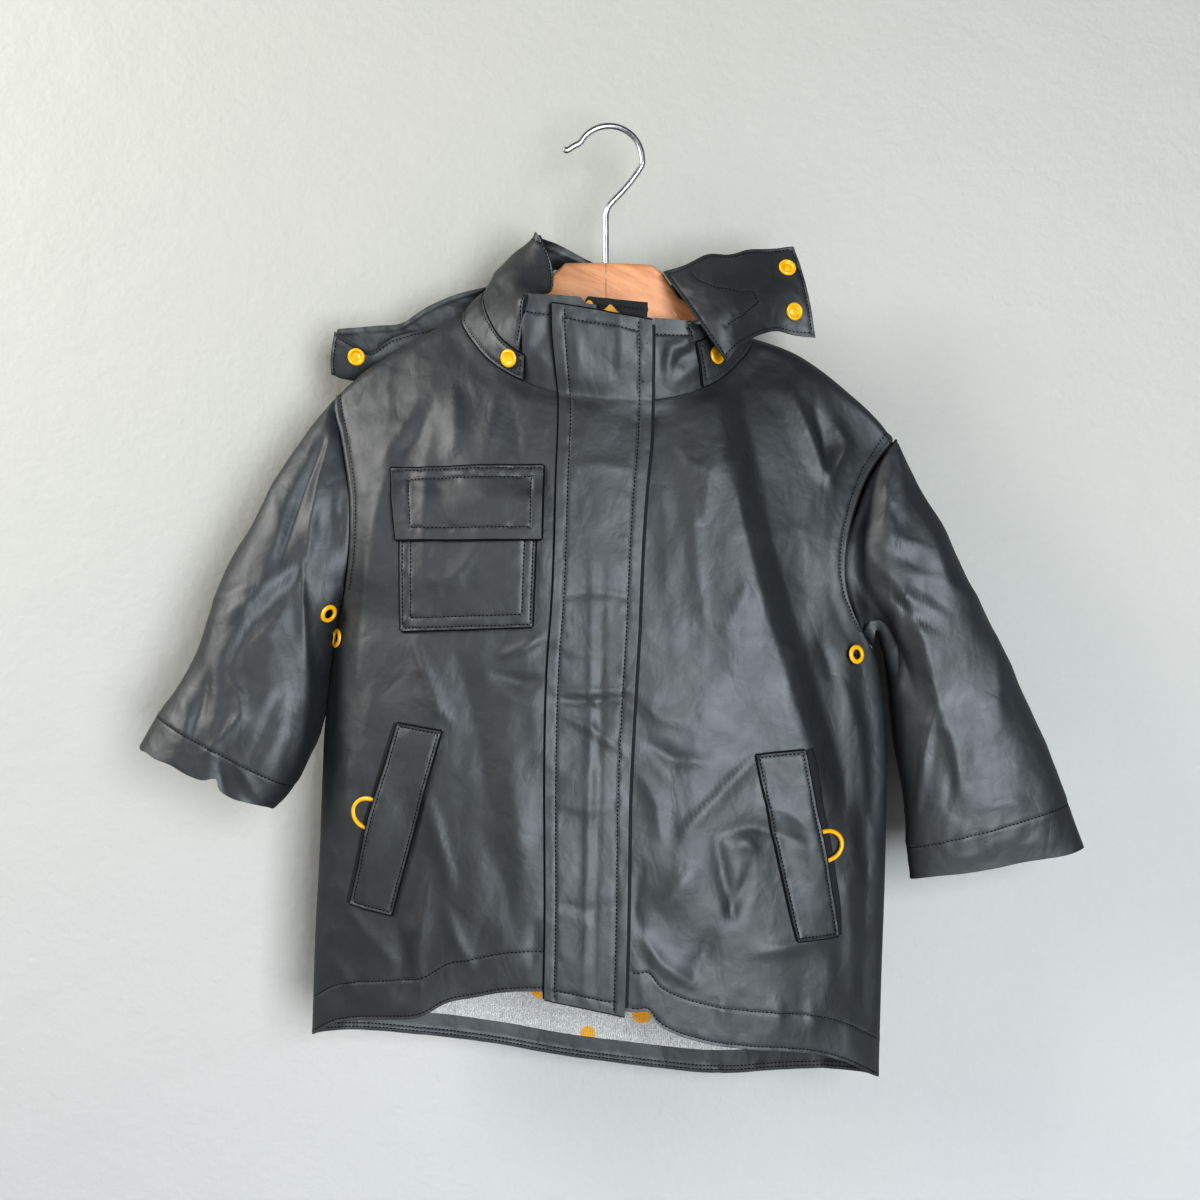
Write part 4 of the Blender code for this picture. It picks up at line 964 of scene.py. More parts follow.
def calm(x, z):
    """0 at the body's seams, where the cloth is held, and 1 a finger's width away."""
    half = by_side(x, z, HALF)
    drop = two_sided(x, SHOULDER) - z
    neck = np.full(np.shape(x), FAR)
    for start, end in zip(NECK_LINE, NECK_LINE[1:]):
        neck = np.minimum(neck, np.hypot(*nearest(np.abs(x), z, start, end)[1:]))
    return smooth(half - np.abs(x), 0.5, 13) * smooth(drop, 1, 15) * smooth(neck, 0.5, 12)


def armhole_rib(x, z):
    """The doubled cloth beside the armhole's seam, and the seam's own groove."""
    half = by_side(x, z, HALF)
    near = half - np.abs(x)
    rib = 0.85 * np.exp(-(((near - 2.0) / 1.5) ** 2)) - 0.9 * np.exp(-((near / 0.9) ** 2))
    return rib * np.where(x < 0, 0.45, 1) * smooth(z, -336, -326)


def front_rumple(points, normals):
    x, z = unhang(points[..., 0], points[..., 2])
    out = strokes(x, z, FRONT_CREASES)
    out = 1.7 * out + 1.6 * ruffle(points, (36, 60, 66), 1) + 0.3 * ruffle(points, (17, 40, 30), 4)
    out += 1.3 * crumple(points, (40, 70, 58), 6) + 0.3 * crumple(points, (14, 40, 22), 2)
    return out * calm(x, z) + armhole_rib(x, z)


def back_rumple(points, normals):
    x, z = unhang(points[..., 0], points[..., 2])
    out = 1.6 * ruffle(points, (40, 60, 90), 11) + 0.5 * ruffle(points, (18, 40, 34), 14)
    out = out + 0.25 * crumple(points, (16, 40, 30), 12)
    return out * calm(x, z) * smooth(-z, 150, 200)


# How far the right sleeve's inner side is let out down its length: z, mm.
LET_OUT = ((-455, 3), (-440, 8), (-395, 12.5), (-345, 8), (-318, 4), (-300, 0))


def sleeve_rumple(side):
    def rumple(points, normals):
        facing = smooth(-normals[..., 1], -0.1, 0.5)
        out = strokes(points[..., 0], points[..., 2], SLEEVE_CREASES[side]) * facing
        out = 1.5 * out + 1.2 * ruffle(points, (28, 40, 36), 21 + side)
        out += 0.3 * ruffle(points, (14, 20, 20), 25)
        out += 1.1 * crumple(points, (32, 50, 42), 27 + side)
        out += 0.25 * crumple(points, (12, 20, 16), 23)
        x, z = unhang(points[..., 0], points[..., 2])
        half = by_side(x, z, HALF)
        near = np.abs(x) - half
        deep, groove = (10.0, 0.9) if side > 0 else (0.9, 0.4)
        dip = deep * np.exp(-(((near - 2) / 13.0) ** 2)) * facing
        dip = dip * smooth(-z, 190, 255) * smooth(z, -360, -330)
        if side < 0:
            let_out = np.interp(points[..., 2], *zip(*LET_OUT))
            dip -= let_out * smooth(normals[..., 0], 0.0, 0.7)
        dip = dip + groove * np.exp(-(near**2)) * smooth(z, -336, -326)
        return out * smooth(near, 0.5, 12) - dip

    return rumple


def light_rumple(points, normals):
    return 0.5 * ruffle(points, 20, 31) + 0.12 * crumple(points, 10, 32)


# %% [markdown]
# ## Cut pieces, seams and stitches
#
# A stitched line pulls the cloth in. It lies in a small groove, and the cloth beside it
# puckers between the stitches. So a piece knows its stitched lines: the groove and the
# puckers go into its surface, and the same line later carries the threads. The grid of a
# piece is finer across a stitched line and at an edge than it is in between.

# %% The surface of a worked piece
def distance_to(points, line):
    """Distance from every point to the nearest place on a line of points."""
    best = np.full(points.shape[:-1], FAR)
    for a, b in zip(line, line[1:]):
        d = b - a
        t = np.clip(((points - a) @ d) / max(float(d @ d), 1e-9), 0, 1)
        best = np.minimum(best, np.linalg.norm(points - a - t[..., None] * d, axis=-1))
    return best


GROOVE = 0.45  # how deep a thread lies, in mm
PUCKER_STEP = 4.6  # from one pucker to the next, in mm


class Panel:
    """A cut piece: its surface, the side that shows, its rumples and its stitched lines."""

    def __init__(self, surface, middle, shows, nudge, rumple=light_rumple, lines=(), pucker=0.3):
        self.surface, self.nudge, self.rumple, self.pucker = surface, nudge, rumple, pucker
        self.sign = 1.0
        a, b = (np.array([float(n)]) for n in middle)
        self.sign = float(np.sign(np.sum(self.normal(a, b)[0] * np.asarray(shows, float))))
        self.lines = [tuple(np.array(c, float) for c in zip(*line)) for line in lines]
        self.threads = [self.surface(*self.along(line, 60)) for line in self.lines]

    def along(self, line, count):
        keys = np.arange(len(line[0]))
        places = np.linspace(0, keys[-1], count)
        return np.interp(places, keys, line[0]), np.interp(places, keys, line[1])

    def normal(self, a, b):
        ea, eb = self.nudge
        du = self.surface(a + ea, b) - self.surface(a - ea, b)
        dv = self.surface(a, b + eb) - self.surface(a, b - eb)
        return unit(np.cross(du, dv)) * self.sign

    def worked(self, a, b):
        """Points of the finished surface, with its rumples, grooves and puckers."""
        p, n = self.surface(a, b), self.normal(a, b)
        out = self.rumple(p, n)
        for thread in self.threads:
            far = distance_to(p, thread)
            puckers = self.pucker * ruffle(p, PUCKER_STEP, 41)
            out = out - GROOVE * np.exp(-(far**2)) + puckers * np.exp(-((far / 4.0) ** 2))
        return p + n * out[..., None], n


def faced(surface, lines=(), rumple=front_rumple, nudge=(0.01, 0.01), pucker=0.3):
    """A panel that lies on the coat's front, with places from 0 to 1 both ways."""
    return Panel(surface, (0.5, 0.5), (0, -1, 0), nudge, rumple, lines, pucker)


def spaced(length, step, lines=()):
    """Places from 0 to 1 along a length in mm, closer together at the lines and at the ends."""
    places = list(np.linspace(0, length, max(int(round(length / step)), 1) + 1))
    close = [line + d * 0.75 for line in lines for d in (-2.4, -1.5, -0.8, 0, 0.8, 1.5, 2.4)]
    close += [0, 0.6, 1.4, length - 1.4, length - 0.6, length]
    close = sorted({round(float(c), 4) for c in close if 0 <= c <= length})
    kept = [p for p in places if min(abs(p - c) for c in close) > 0.6625]
    return np.array(sorted(set(kept) | set(close))) / length


def grid_of(a, b):
    return np.meshgrid(np.asarray(a, float), np.asarray(b, float), indexing="ij")


def joined(*parts, digits=3):
    """All the places in order, each once."""
    return np.unique(np.round(np.concatenate(parts), digits))


# %% Sewing a piece into the coat
THREAD_RUNS, SHADE_CORDS, SHEETS = [], [], []  # what later cells sew, and the cloth pieces with their sizes
CUT_SCALE = 0.01  # from mm along the cut to the weave's own measure
EYE_HOLE = 3.6  # radius of the hole in the cloth behind an eyelet, in mm


def lengths(grid, axis):
    """Distance along the cloth from its first edge, in mm."""
    step = np.linalg.norm(np.diff(grid, axis=axis), axis=-1)
    total = np.cumsum(step, axis=axis)
    return np.concatenate([np.zeros_like(np.take(total, [0], axis)), total], axis)


def area_of(grid):
    """Square metres of cloth in a grid of points in mm."""
    a = np.cross(grid[1:, 1:] - grid[:-1, :-1], grid[1:, :-1] - grid[:-1, 1:])
    return float(np.linalg.norm(a, axis=-1).sum() / 2 * 1e-6)


def shade_cord_path(points, normals, edge, wall):
    """Where a dark cord goes under an edge, as painted shade for the gap there: a or A is the first
    or last row, b or B such a column.
    """
    if edge in "bB":
        points, normals = points.swapaxes(0, 1), normals.swapaxes(0, 1)
    first, second = (0, 1) if edge in "ab" else (-1, -2)
    rim, up = points[first], normals[first]
    away = unit(rim - points[second])
    return rim + away * 0.45 - up * (wall - 0.35), away, up


def punch(bm, centre, radius):
    """Cuts a round hole through a piece."""
    centre = Vector(centre * MM)
    gone = [f for f in bm.faces if (f.calc_center_median() - centre).length < radius * MM]
    bmesh.ops.delete(bm, geom=gone, context="FACES")
    for v in bm.verts:
        off = v.co - centre
        if v.is_boundary and off.length < (radius + 4) * MM:
            v.co = centre + off.normalized() * (radius + 0.2) * MM


def sew(
    name, panel, grid, outside=None, inside=None, wall=1.4,
    stands=True, closed=False, hole=None, threads_inside=False, shaded_edges="",
):
    """Makes a piece from its panel on a grid of places, and lets it stand for its solid.

    It is of coated cloth where nothing else is said. Each edge named in the last argument
    gets a dark cord under it, as painted shade for the gap under that edge.
    """
    points, normals = panel.worked(*grid)
    for edge in shaded_edges:
        SHADE_CORDS.append((name, *shade_cord_path(points, normals, edge, wall)))
    rows, columns = points.shape[0] - 1, points.shape[1] - 1
    along, across = lengths(points, 0), lengths(points, 1)
    bm = bmesh.new()
    bmesh.ops.create_grid(bm, x_segments=rows, y_segments=columns, size=1.0)
    cut = bm.loops.layers.uv.new("cut")
    places = {}
    for v in bm.verts:
        i, j = round((v.co.x + 1) / 2 * rows), round((v.co.y + 1) / 2 * columns)
        places[v] = (i, j)
        v.co = points[i, j] * MM
    for face in bm.faces:
        for loop in face.loops:
            i, j = places[loop.vert]
            loop[cut].uv = (along[i, j] * CUT_SCALE, across[i, j] * CUT_SCALE)
        face.smooth = True
    bm.normal_update()
    if sum(f.normal.dot(Vector(normals[places[f.verts[0]]])) for f in bm.faces) < 0:
        bmesh.ops.reverse_faces(bm, faces=bm.faces)
    if closed:
        bmesh.ops.remove_doubles(bm, verts=bm.verts, dist=1e-5)
    if hole is not None:
        punch(bm, hole, EYE_HOLE)
    outside = (outside or coating).material
    inside = inside.material if inside else outside
    made = linked(closed_mesh(name + "_cloth", bm), outside, inside)
    shell = made.modifiers.new("wall", "SOLIDIFY")
    shell.thickness, shell.offset = wall * MM, -1.0
    shell.material_offset, shell.material_offset_rim = 1, 0
    edge = made.modifiers.new("folded_edge", "BEVEL")
    edge.width, edge.segments = 0.5 * MM, 3
    edge.limit_method, edge.angle_limit = "ANGLE", np.radians(55)
    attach(made, "root")
    if stands:
        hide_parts(name)
    for line in panel.lines:
        THREAD_RUNS.append((name, panel, line, 0.0))
        if threads_inside:
            THREAD_RUNS.append((name, panel, line, wall))
    wide, long = float(along[-1].mean()) * MM, float(across[:, -1].mean()) * MM
    SHEETS.append((name, made, wide, long, area_of(points)))
    print(f"{name}: {rows} x {columns}, cloth {wide:.3f} x {long:.3f} m, {SHEETS[-1][-1]:.4f} m2")


# %% [markdown]
# ## Finishes
#
# The coating is a dark slate rubber skin, with a low satin gloss. It isn't one grey: it
# is paler where it has been handled and creased, with a fine darker speckle. The relief is
# in three sizes, a fine grain like skin, small creases a few millimetres apart, and
# slower waves. The lining is a brushed jersey, whose grey is a mix of pale and dark
# fibres. The yellow fittings are lacquered metal, and the hanger is varnished beech.

# %% Coated cloth
coating = Finish("coated_cloth", Metallic=0.0, IOR=1.62)
place = coating.place()
broad = coating.cloud(place, 9, 3, 0.5)
small = coating.cloud(place, 60, 3, 0.5, 0.3)
grain = coating.cloud(place, 1500, 2, 0.6)
rubbed = coating.cloud(place, 26, 5, 0.65, 0.8).clipped(0.50, 0.76)
tone = coating.blend(broad.clipped(0.3, 0.7), (0.0120, 0.0139, 0.0150), (0.0172, 0.0194, 0.0203))
tone = coating.blend(rubbed * 0.4, tone, (0.033, 0.036, 0.036))
tone = coating.blend(grain.clipped(0.35, 0.7) * 0.25, tone, (0.011, 0.013, 0.015))
coating.set(Base_Color=tone, Roughness=0.54 + (small - 0.5) * 0.16 + (grain - 0.5) * 0.08)
creased = abs(coating.cloud(coating.mapped(place, (1, 1, 0.6)), 48, 2, 0.5, 0.7) - 0.5)
coating.relief((grain, 0.00006), (creased, 0.0007), (small, 0.0007))

# %% Painted shade: a near-black cloth, for gaps and openings that lie in shadow
painted_shade = Finish("painted_shade_cloth", Metallic=0.0, Roughness=0.8)
place = painted_shade.place()
tone = painted_shade.blend(painted_shade.cloud(place, 700, 2), (0.003, 0.0035, 0.004), (0.007, 0.008, 0.009))
painted_shade.set(Base_Color=tone)
painted_shade.relief((painted_shade.cloud(place, 1500, 2), 0.0001))

# %% Jersey lining
# Three round yellow dots on it: x, z and radius, in metres.
SPOTS = ((0.0206, -0.5899, 0.0072), (-0.0162, -0.6040, 0.0052), (-0.0490, -0.5745, 0.0056))

jersey = Finish("jersey_lining", Metallic=0.0)
cut = jersey.cloth_place()
place = jersey.place()
rib, course = jersey.bands(cut, "X", 26.0, 1.5, 1.0), jersey.bands(cut, "Y", 30.0, 2.5, 1.0)
fibre = jersey.cloud(jersey.mapped(place, (1, 1, 0.35)), 1900, 3, 0.65)
fleck = jersey.cloud(jersey.mapped(place, (1, 1, 0.25)), 750, 2, 0.6)
tone = jersey.blend(fibre.clipped(0.36, 0.66), (0.33, 0.322, 0.315), (0.58, 0.565, 0.55))
tone = jersey.blend(fleck.clipped(0.60, 0.72) * 0.7, tone, (0.23, 0.23, 0.235))
for x, z, reach in SPOTS:
    flat = jersey.mapped(place, (1, 0, 1))
    away = jersey.add("VectorMath", {"operation": "DISTANCE"}, {0: flat, 1: (x, 0, z)}, out=1)
    dot = (1 - away.clipped(reach - 0.0006, reach + 0.0004)) * 0.95
    tone = jersey.blend(dot, tone, (0.62, 0.30, 0.006))
jersey.set(Base_Color=tone, Roughness=0.92, Sheen_Weight=0.25)
jersey.relief((fibre, 0.0006), (rib * course, 0.0005))

# %% Yellow lacquer, zip tape, thread
lacquer = Finish("yellow_lacquer", Metallic=0.0)
place = lacquer.place()
worn = lacquer.cloud(place, 260, 4, 0.6)
tone = lacquer.blend(worn.clipped(0.35, 0.75), (0.50, 0.265, 0.002), (0.56, 0.315, 0.003))
tone = lacquer.blend(
    lacquer.cloud(place, 900, 3).clipped(0.68, 0.8) * 0.5, tone, (0.34, 0.17, 0.002)
)
lacquer.set(Base_Color=tone, Roughness=0.34 + worn * 0.12, Coat_Weight=0.12)
lacquer.relief((lacquer.cloud(place, 420, 2), 0.00012), (worn, 0.00010))

tape = Finish("zip_tape_weave", Metallic=0.0)
cut = tape.cloth_place()
weave = tape.bands(cut, "X", 40.0) * tape.bands(cut, "Y", 34.0)
tape.set(Base_Color=tape.blend(weave, (0.42, 0.22, 0.04), (0.62, 0.38, 0.10)), Roughness=0.8)
tape.relief((weave, 0.0004))

thread = Finish("sewing_thread", Metallic=0.0, Specular_IOR_Level=0.1)
place = thread.place()
twist = thread.cloud(place, 2600, 1)
tone = thread.blend(twist, (0.004, 0.0045, 0.005), (0.012, 0.013, 0.015))
thread.set(Base_Color=tone, Roughness=0.8 + twist * 0.1)
thread.relief((twist, 0.00015))

# %% Varnished beech, and polished wire
beech = Finish("varnished_beech", Metallic=0.0)
place = beech.mapped(beech.place(), turn=(0, -0.45, 0))
years = beech.cloud(beech.mapped(place, (0.16, 1.6, 1)), 150, 4, 0.55, 0.6)
pores = beech.cloud(beech.mapped(place, (0.10, 1, 1)), 1700, 2, 0.5)
slow = beech.cloud(beech.mapped(place, (0.5, 1, 1)), 22, 3)
tone = beech.blend(years.clipped(0.3, 0.72), (0.36, 0.165, 0.082), (0.46, 0.235, 0.122))
tone = beech.blend(slow.clipped(0.4, 0.7) * 0.35, tone, (0.34, 0.145, 0.07))
tone = beech.blend(pores.clipped(0.60, 0.74) * 0.55, tone, (0.27, 0.10, 0.04))
beech.set(Base_Color=tone, Roughness=0.40 + years * 0.12, Coat_Weight=0.2)
beech.relief((pores, 0.00012), (years, 0.00015))

chrome = Finish("polished_wire", Metallic=1.0)
place = chrome.place()
haze = chrome.cloud(place, 240, 4, 0.6)
tone = chrome.blend(haze, (0.40, 0.41, 0.43), (0.58, 0.59, 0.60))
chrome.set(Base_Color=tone, Roughness=0.22 + haze * 0.15)
chrome.relief((chrome.cloud(chrome.mapped(place, (1, 1, 0.2)), 900, 2), 0.00006))

# %% [markdown]
# ## The body of the coat
#
# Two fronts and a back. The fronts run from the shoulder to the hem and end beside the
# zip. The hem and the armhole are top-stitched, so those lines are given to the panel
# first. The eyelet under each arm goes through the front, so the front has a hole there.

# %% The fronts
SIDES = ((-1, "right"), (1, "left"))  # as the wearer has them
EYELET_PLACE = {-1: (-169.3, -349.0), 1: (164.3, -334.0)}
HEM_ROW = len(FRONT_ROWS) - 1  # the last row of a front


def across_front(side, v, inner, edge):
    """Places across a front: even shares of its width, then millimetres from its outer edge."""
    ends = front_xz(side, v, np.ones(len(v))), front_xz(side, v, np.zeros(len(v)))
    width = np.hypot(*np.subtract(*ends))[:, None]
    return np.concatenate([(1 - edge[0] / width) * inner, 1 - edge[1:] / width], axis=1)


def hem_row(side, f, up):
    """The row that lies up mm above the hem."""
    last = np.full(np.shape(f), float(HEM_ROW))
    low, high = (front_xz(side, row, f)[1] for row in (last, last - 1))
    return HEM_ROW - up / (high - low)


# Rows about 2.5 mm apart, and closer at the hem and at the shoulder.
mean_z = np.array([(row[0] + row[2]) / 2 for row in FRONT_ROWS])
even = np.interp(
    -np.linspace(-mean_z[0], -mean_z[-1], 186), mean_z[::-1], np.arange(HEM_ROW + 1)[::-1]
)
even = even[(even <= 21.8) | (even >= 22.36)]
close = (0.3, 0.6, 0.9, 1.2, 1.5, 1.8, 22.88, 22.93, 22.965, 22.985)
rows = joined(even, np.linspace(21.82, 22.34, 19), close)
edge = np.array((13, 11.4, 9.9, 8.6, 7.4, 6.5, 5.7, 5.0, 4.3, 3.6, 2.8, 2.0, 1.4, 0.8, 0.3, 0))
for side, name in SIDES:
    f = across_front(side, rows, np.linspace(0, 1, 70), edge)
    v = np.broadcast_to(rows[:, None], f.shape)
    hem_f = np.linspace(0.09 if side < 0 else 0.13, 0.995, 40)
    arm_v = np.linspace(0.6, 13.2, 60)
    arm_f = across_front(side, arm_v, np.zeros(1), np.array((5.0, 5.0)))[:, 1]
    lines = [list(zip(hem_row(side, hem_f, up), hem_f)) for up in (24.5, 2.2)]
    lines.append(list(zip(arm_v, arm_f)))
    panel = Panel(front(side), (14, 0.5), (0, -1, 0), (0.04, 0.004), front_rumple, lines)
    hole = lifted(*np.array(EYELET_PLACE[side]), 0.0)
    sew(f"front_{name}", panel, (v, f), inside=jersey, hole=hole)

# %% The back, with its double-stitched hem
back_rows = np.arange(len(BACK_ROWS))
hem_step = BACK_ROWS[-2] - BACK_ROWS[-1]
u_lines = np.linspace(-12.9, 12.9, 90)
lines = [[(u, back_rows[-1] - up / hem_step) for u in u_lines] for up in (2.2, 4.6)]
BACK = Panel(back, (0.1, 11), (0, 1, 0), (0.03, 0.03), back_rumple, lines, pucker=0.2)
even = np.interp(np.linspace(200.5, 600, 120), -np.array(BACK_ROWS), back_rows)
rows = joined(
    np.linspace(0, 4, 12)[:-1], even[even < 21.6], np.linspace(21.6, 21.96, 20), (21.98, 22)
)
columns = joined(np.linspace(-13, 13, 131), (-12.97, 12.97))
sew("back", BACK, grid_of(columns, rows), threads_inside=True)

# %% [markdown]
# ## Sleeves
#
# A dropped sleeve is a wide tube, flattened by its own weight, with a turned cuff. It
# starts on the armhole's edge, so its first row is the same line as the front's and the
# back's outer edges, and its cuff line is stitched a little way above the end.

# %% Both sleeves
def puckered(side):
    """The sleeve, with its cuff drawn up here and there on the wearer's right."""
    plain = sleeve(side)

    def surface(k, w):
        k, w = np.broadcast_arrays(np.asarray(k, float), np.asarray(w, float))
        drawn = 0.012 * np.sin(1.3 * w)
        if side < 0:
            notch = 0.23 * np.exp(-(((w - 8.2) / 0.42) ** 2))
            notch = notch - 0.15 * np.exp(-(((w - 10.1) / 1.1) ** 2))
            drawn = 0.018 * (np.sin(2.6 * w) + 0.8 * np.sin(1.1 * w + 2)) + notch
        return plain(k - drawn * smooth(k, 7.3, 8), w)

    return surface


SLEEVES = {}
SLEEVE_EYE = {-1: (1.95, 12.2), 1: (2.3, 16.3)}  # where the second eyelet goes
CUFF = {-1: 7.12, 1: 7.22}  # where the cuff is stitched
for side, name in SIDES:
    cuff = CUFF[side]
    line = [(cuff, w) for w in np.linspace(0, ROUND, 120)]
    SLEEVES[side] = Panel(
        puckered(side), (4, 7), (0, -1, 0), (0.02, 0.05), sleeve_rumple(side), [line]
    )
    k = joined(
        np.linspace(0, 0.4, 6), np.linspace(0.5, 6.9, 92),
        np.linspace(cuff - 0.16, cuff + 0.16, 13),
        np.linspace(cuff + 0.24, 7.9, 10), (7.95, 7.98, 8),
    )
    hole = SLEEVES[side].worked(*np.array(SLEEVE_EYE[side])[:, None])[0][0]
    grid = grid_of(k, np.linspace(0, ROUND, 127))
    sew(f"sleeve_{name}", SLEEVES[side], grid, inside=jersey, closed=True, hole=hole)

# %% [markdown]
# ## Collar, zip and the strip over it
#
# The collar is a stand in one strip. Down the front runs a strip of doubled cloth, sewn
# on one side, which keeps rain off the zip. Behind the zip lies a guard, which keeps it
# from the chin. Only their upper ends show, so the zip is made as its tape alone.

# %% Collar
COLLAR_CREASES = (
    (3.5, 5, 2.6, 52, -141, 48, -147, 41, -149, 38, -158, 39, -170),
    (2.6, 2.6, -1.8, 37, -149, 35, -157, 35, -166),
    (3.2, 5, -2.6, 56, -149, 48, -154, 43, -160),
    (4, 4, 1.6, 60, -158, 50, -164, 43, -171),
    (1.3, 10, 3.0, -53, -122, -52.5, -142, -52, -166),
    (2.4, 1.2, -2.0, -57, -120, -56, -142, -55, -170),
    (4, 5, -1.6, -38, -132, -39, -146, -46, -156),
    (4, 4, 1.2, -44, -156, -38, -166, -40, -174),
)


def collar_rumple(points, normals):
    x, z = unhang(points[..., 0], points[..., 2])
    out = strokes(x, z, COLLAR_CREASES) * smooth(-normals[..., 1], 0, 0.4)
    out = out + 0.5 * ruffle(points, (14, 20, 22), 51) + 0.22 * crumple(points, 9, 52)
    return out * 0.9


def stand(q, h):
    """The collar, a little taller where its right end passes behind the strip."""
    p = collar(q, h)
    at = smooth(p[..., 0], -58, -54) * smooth(-p[..., 0], 16.5, 18.5) * smooth(-p[..., 1], -6, 2)
    p[..., 2] += 4.2 * np.clip(h, 0, 1) ** 2 * at
    return p


TALL = 52  # the collar's height, in mm
line = [(q, 0.80) for q in np.linspace(0.6, 31.4, 120)]
COLLAR = Panel(stand, (1.5, 0.5), (0, -1, 0), (0.05, 0.02), collar_rumple, [line])
grid = grid_of(np.linspace(0, 32, 260), spaced(TALL, 2.2, (TALL * 0.80,)))
sew("collar", COLLAR, grid, wall=1.6, shaded_edges="b")

# %% The strip over the zip
def storm_flap(s, v):
    """s goes across the strip and v down, and its two sides follow the tables."""
    z = (-128 - 432 * v) * (1 - s) + (-134 - 433 * v) * s
    x = curve(z, LEFT_OF_FLAP) * (1 - s) + curve(z, RIGHT_OF_FLAP) * s
    return lifted(x, z, 2.7 + 0.5 * humped(s) + 4.0 * smooth(-v, -0.13, 0), centre_y)


sides = [[(s, v) for v in np.linspace(0.004, 0.996, 90)] for s in (0.125, 0.865)]
ends = [[(s, v) for s in np.linspace(0.125, 0.865, 20)] for v in (0.0185, 0.984)]
joins = [[(s, v) for s in np.linspace(0.88, 0.99, 5)] for v in (0.034, 0.088)]
STRIP = faced(storm_flap, sides + ends + joins, nudge=(0.01, 0.002), pucker=0.42)
grid = grid_of(spaced(56, 2.0, (7, 48.4)), spaced(432, 2.3, (8, 425)))
sew("storm_flap", STRIP, grid, wall=1.9, shaded_edges="abB")

# %% Painted shade: a near-black strip beside the flap's edge, for the shadow in the gap there
def flap_gap_shadow(s, v):
    z = -136 - 426 * v
    x = curve(z, RIGHT_OF_FLAP) - 10.4 + 12.6 * s
    return lifted(x, z, 0.5 + 1.5 * smooth(z, -184, -176), centre_y)


SLOT = faced(flap_gap_shadow, nudge=(0.01, 0.002))
grid = grid_of(spaced(12.6, 1.4), spaced(426, 2.3))
sew("strip_binding", SLOT, grid, outside=painted_shade, wall=0.4, stands=False)

# %% Zip tape and the guard
def zip_top(x):
    """The tape's upper end shows in two small folds above the strip."""
    left, right = (np.exp(-(((x - at) / wide) ** 2)) for at, wide in ((-11.6, 4.6), (1.6, 4.2)))
    return -130.6 + 7.5 * left + 5.6 * right


def zip_tape(s, v):
    x = -18 + 30 * s
    top = zip_top(x)
    return lifted(x, top + (-552 - top) * v, -(WALL + 1.2) + 0 * v, centre_y)


ZIP = faced(zip_tape, (), light_rumple, (0.01, 0.002))
sew("zip_tape", ZIP, grid_of(spaced(30, 1.5), spaced(424, 4)), outside=tape, wall=0.9)


def zip_guard(s, v):
    x = -29 + 54 * s
    top = -120.8 - 0.03 * (x + 12) - 9 * smooth(-x, 12.5, 17)
    return lifted(x, top + (-554 - top) * v, -(WALL + 3.4) + 0 * v, centre_y)


line = [(s, 0.011) for s in np.linspace(0.03, 0.97, 20)]
GUARD = faced(zip_guard, [line], light_rumple, (0.01, 0.002))
# The guard is of the coat's own coated cloth, but it is drawn in the near-black painted shade,
# because it lies in the shadow inside the neck.
sew("zip_guard", GUARD, grid_of(spaced(54, 1.4), spaced(428, 3.5, (4.7,))), outside=painted_shade, wall=2.6)

# %% [markdown]
# ## Pockets
#
# The chest pocket is a patch with a flap that hangs over its mouth. The hip pockets are
# slanted openings, each covered by a welt: a folded strip, open along its outer side,
# where a wire ring comes out.

# %% Chest pocket and its flap
def patch_xz(corners, s, t):
    """A place between four corners, in x and z of the coat's frame."""
    a, b, c, d = (np.array(p, float) for p in corners)
    s, t = np.asarray(s, float)[..., None], np.asarray(t, float)[..., None]
    p = (a * (1 - s) + b * s) * (1 - t) + (d * (1 - s) + c * s) * t
    return p[..., 0], p[..., 1]


POCKET = [unhang(*p) for p in ((-46.7, -250), (-134, -250), (-132.8, -330.5), (-49.8, -327.5))]
FLAP = [unhang(*p) for p in ((-43.2, -227), (-140, -227.7), (-135.4, -273.2), (-43.9, -273.6))]


def chest_pocket(s, t):
    return lifted(*patch_xz(POCKET, s, t), 0.9 + WALL + 0.5 * humped(s) * humped(t))


def chest_flap(s, t):
    rise = (WALL + 0.9) * smooth(t, 0.12, 0.5) + 0.5 * humped(s) * smooth(t, 0.2, 0.6)
    return lifted(*patch_xz(FLAP, s, t), 0.7 + WALL + rise)


def frame_lines(wide, tall, left, right, top, bottom):
    """Stitched lines inside a rectangle, each so many mm from its edge, or none there."""
    s0, s1 = (left or 1.2) / wide, 1 - (right or 1.2) / wide
    t0, t1 = (top or 0.5) / tall, 1 - (bottom or 0.5) / tall
    steps = np.linspace(0, 1, 24)
    down, over = t0 + (t1 - t0) * steps, s0 + (s1 - s0) * steps
    lines = [[(s, t) for t in down] for s, sewn in ((s0, left), (s1, right)) if sewn]
    return lines + [[(s, t) for s in over] for t, sewn in ((t0, top), (t1, bottom)) if sewn]


wide, tall = 86, 79  # the pocket, in mm
lines = frame_lines(wide, tall, 7, 7, None, 8) + frame_lines(wide, tall, 1.5, 1.5, None, 1.6)
across = spaced(wide, 2.0, (1.5, 7, wide - 7, wide - 1.5))
grid = grid_of(across, spaced(tall, 2.0, (tall - 8, tall - 1.6)))
sew("chest_pocket", faced(chest_pocket, lines), grid, shaded_edges="aAB")

wide, tall = 96, 46  # its flap
lines = frame_lines(wide, tall, 7.5, 10.5, 7, 7.5) + frame_lines(wide, tall, None, None, 1.5, None)
grid = grid_of(spaced(wide, 1.9, (7.5, wide - 10.5)), spaced(tall, 1.8, (1.5, 7, tall - 7.5)))
sew("chest_flap", faced(chest_flap, lines, pucker=0.45), grid, wall=1.5, shaded_edges="aAbB")

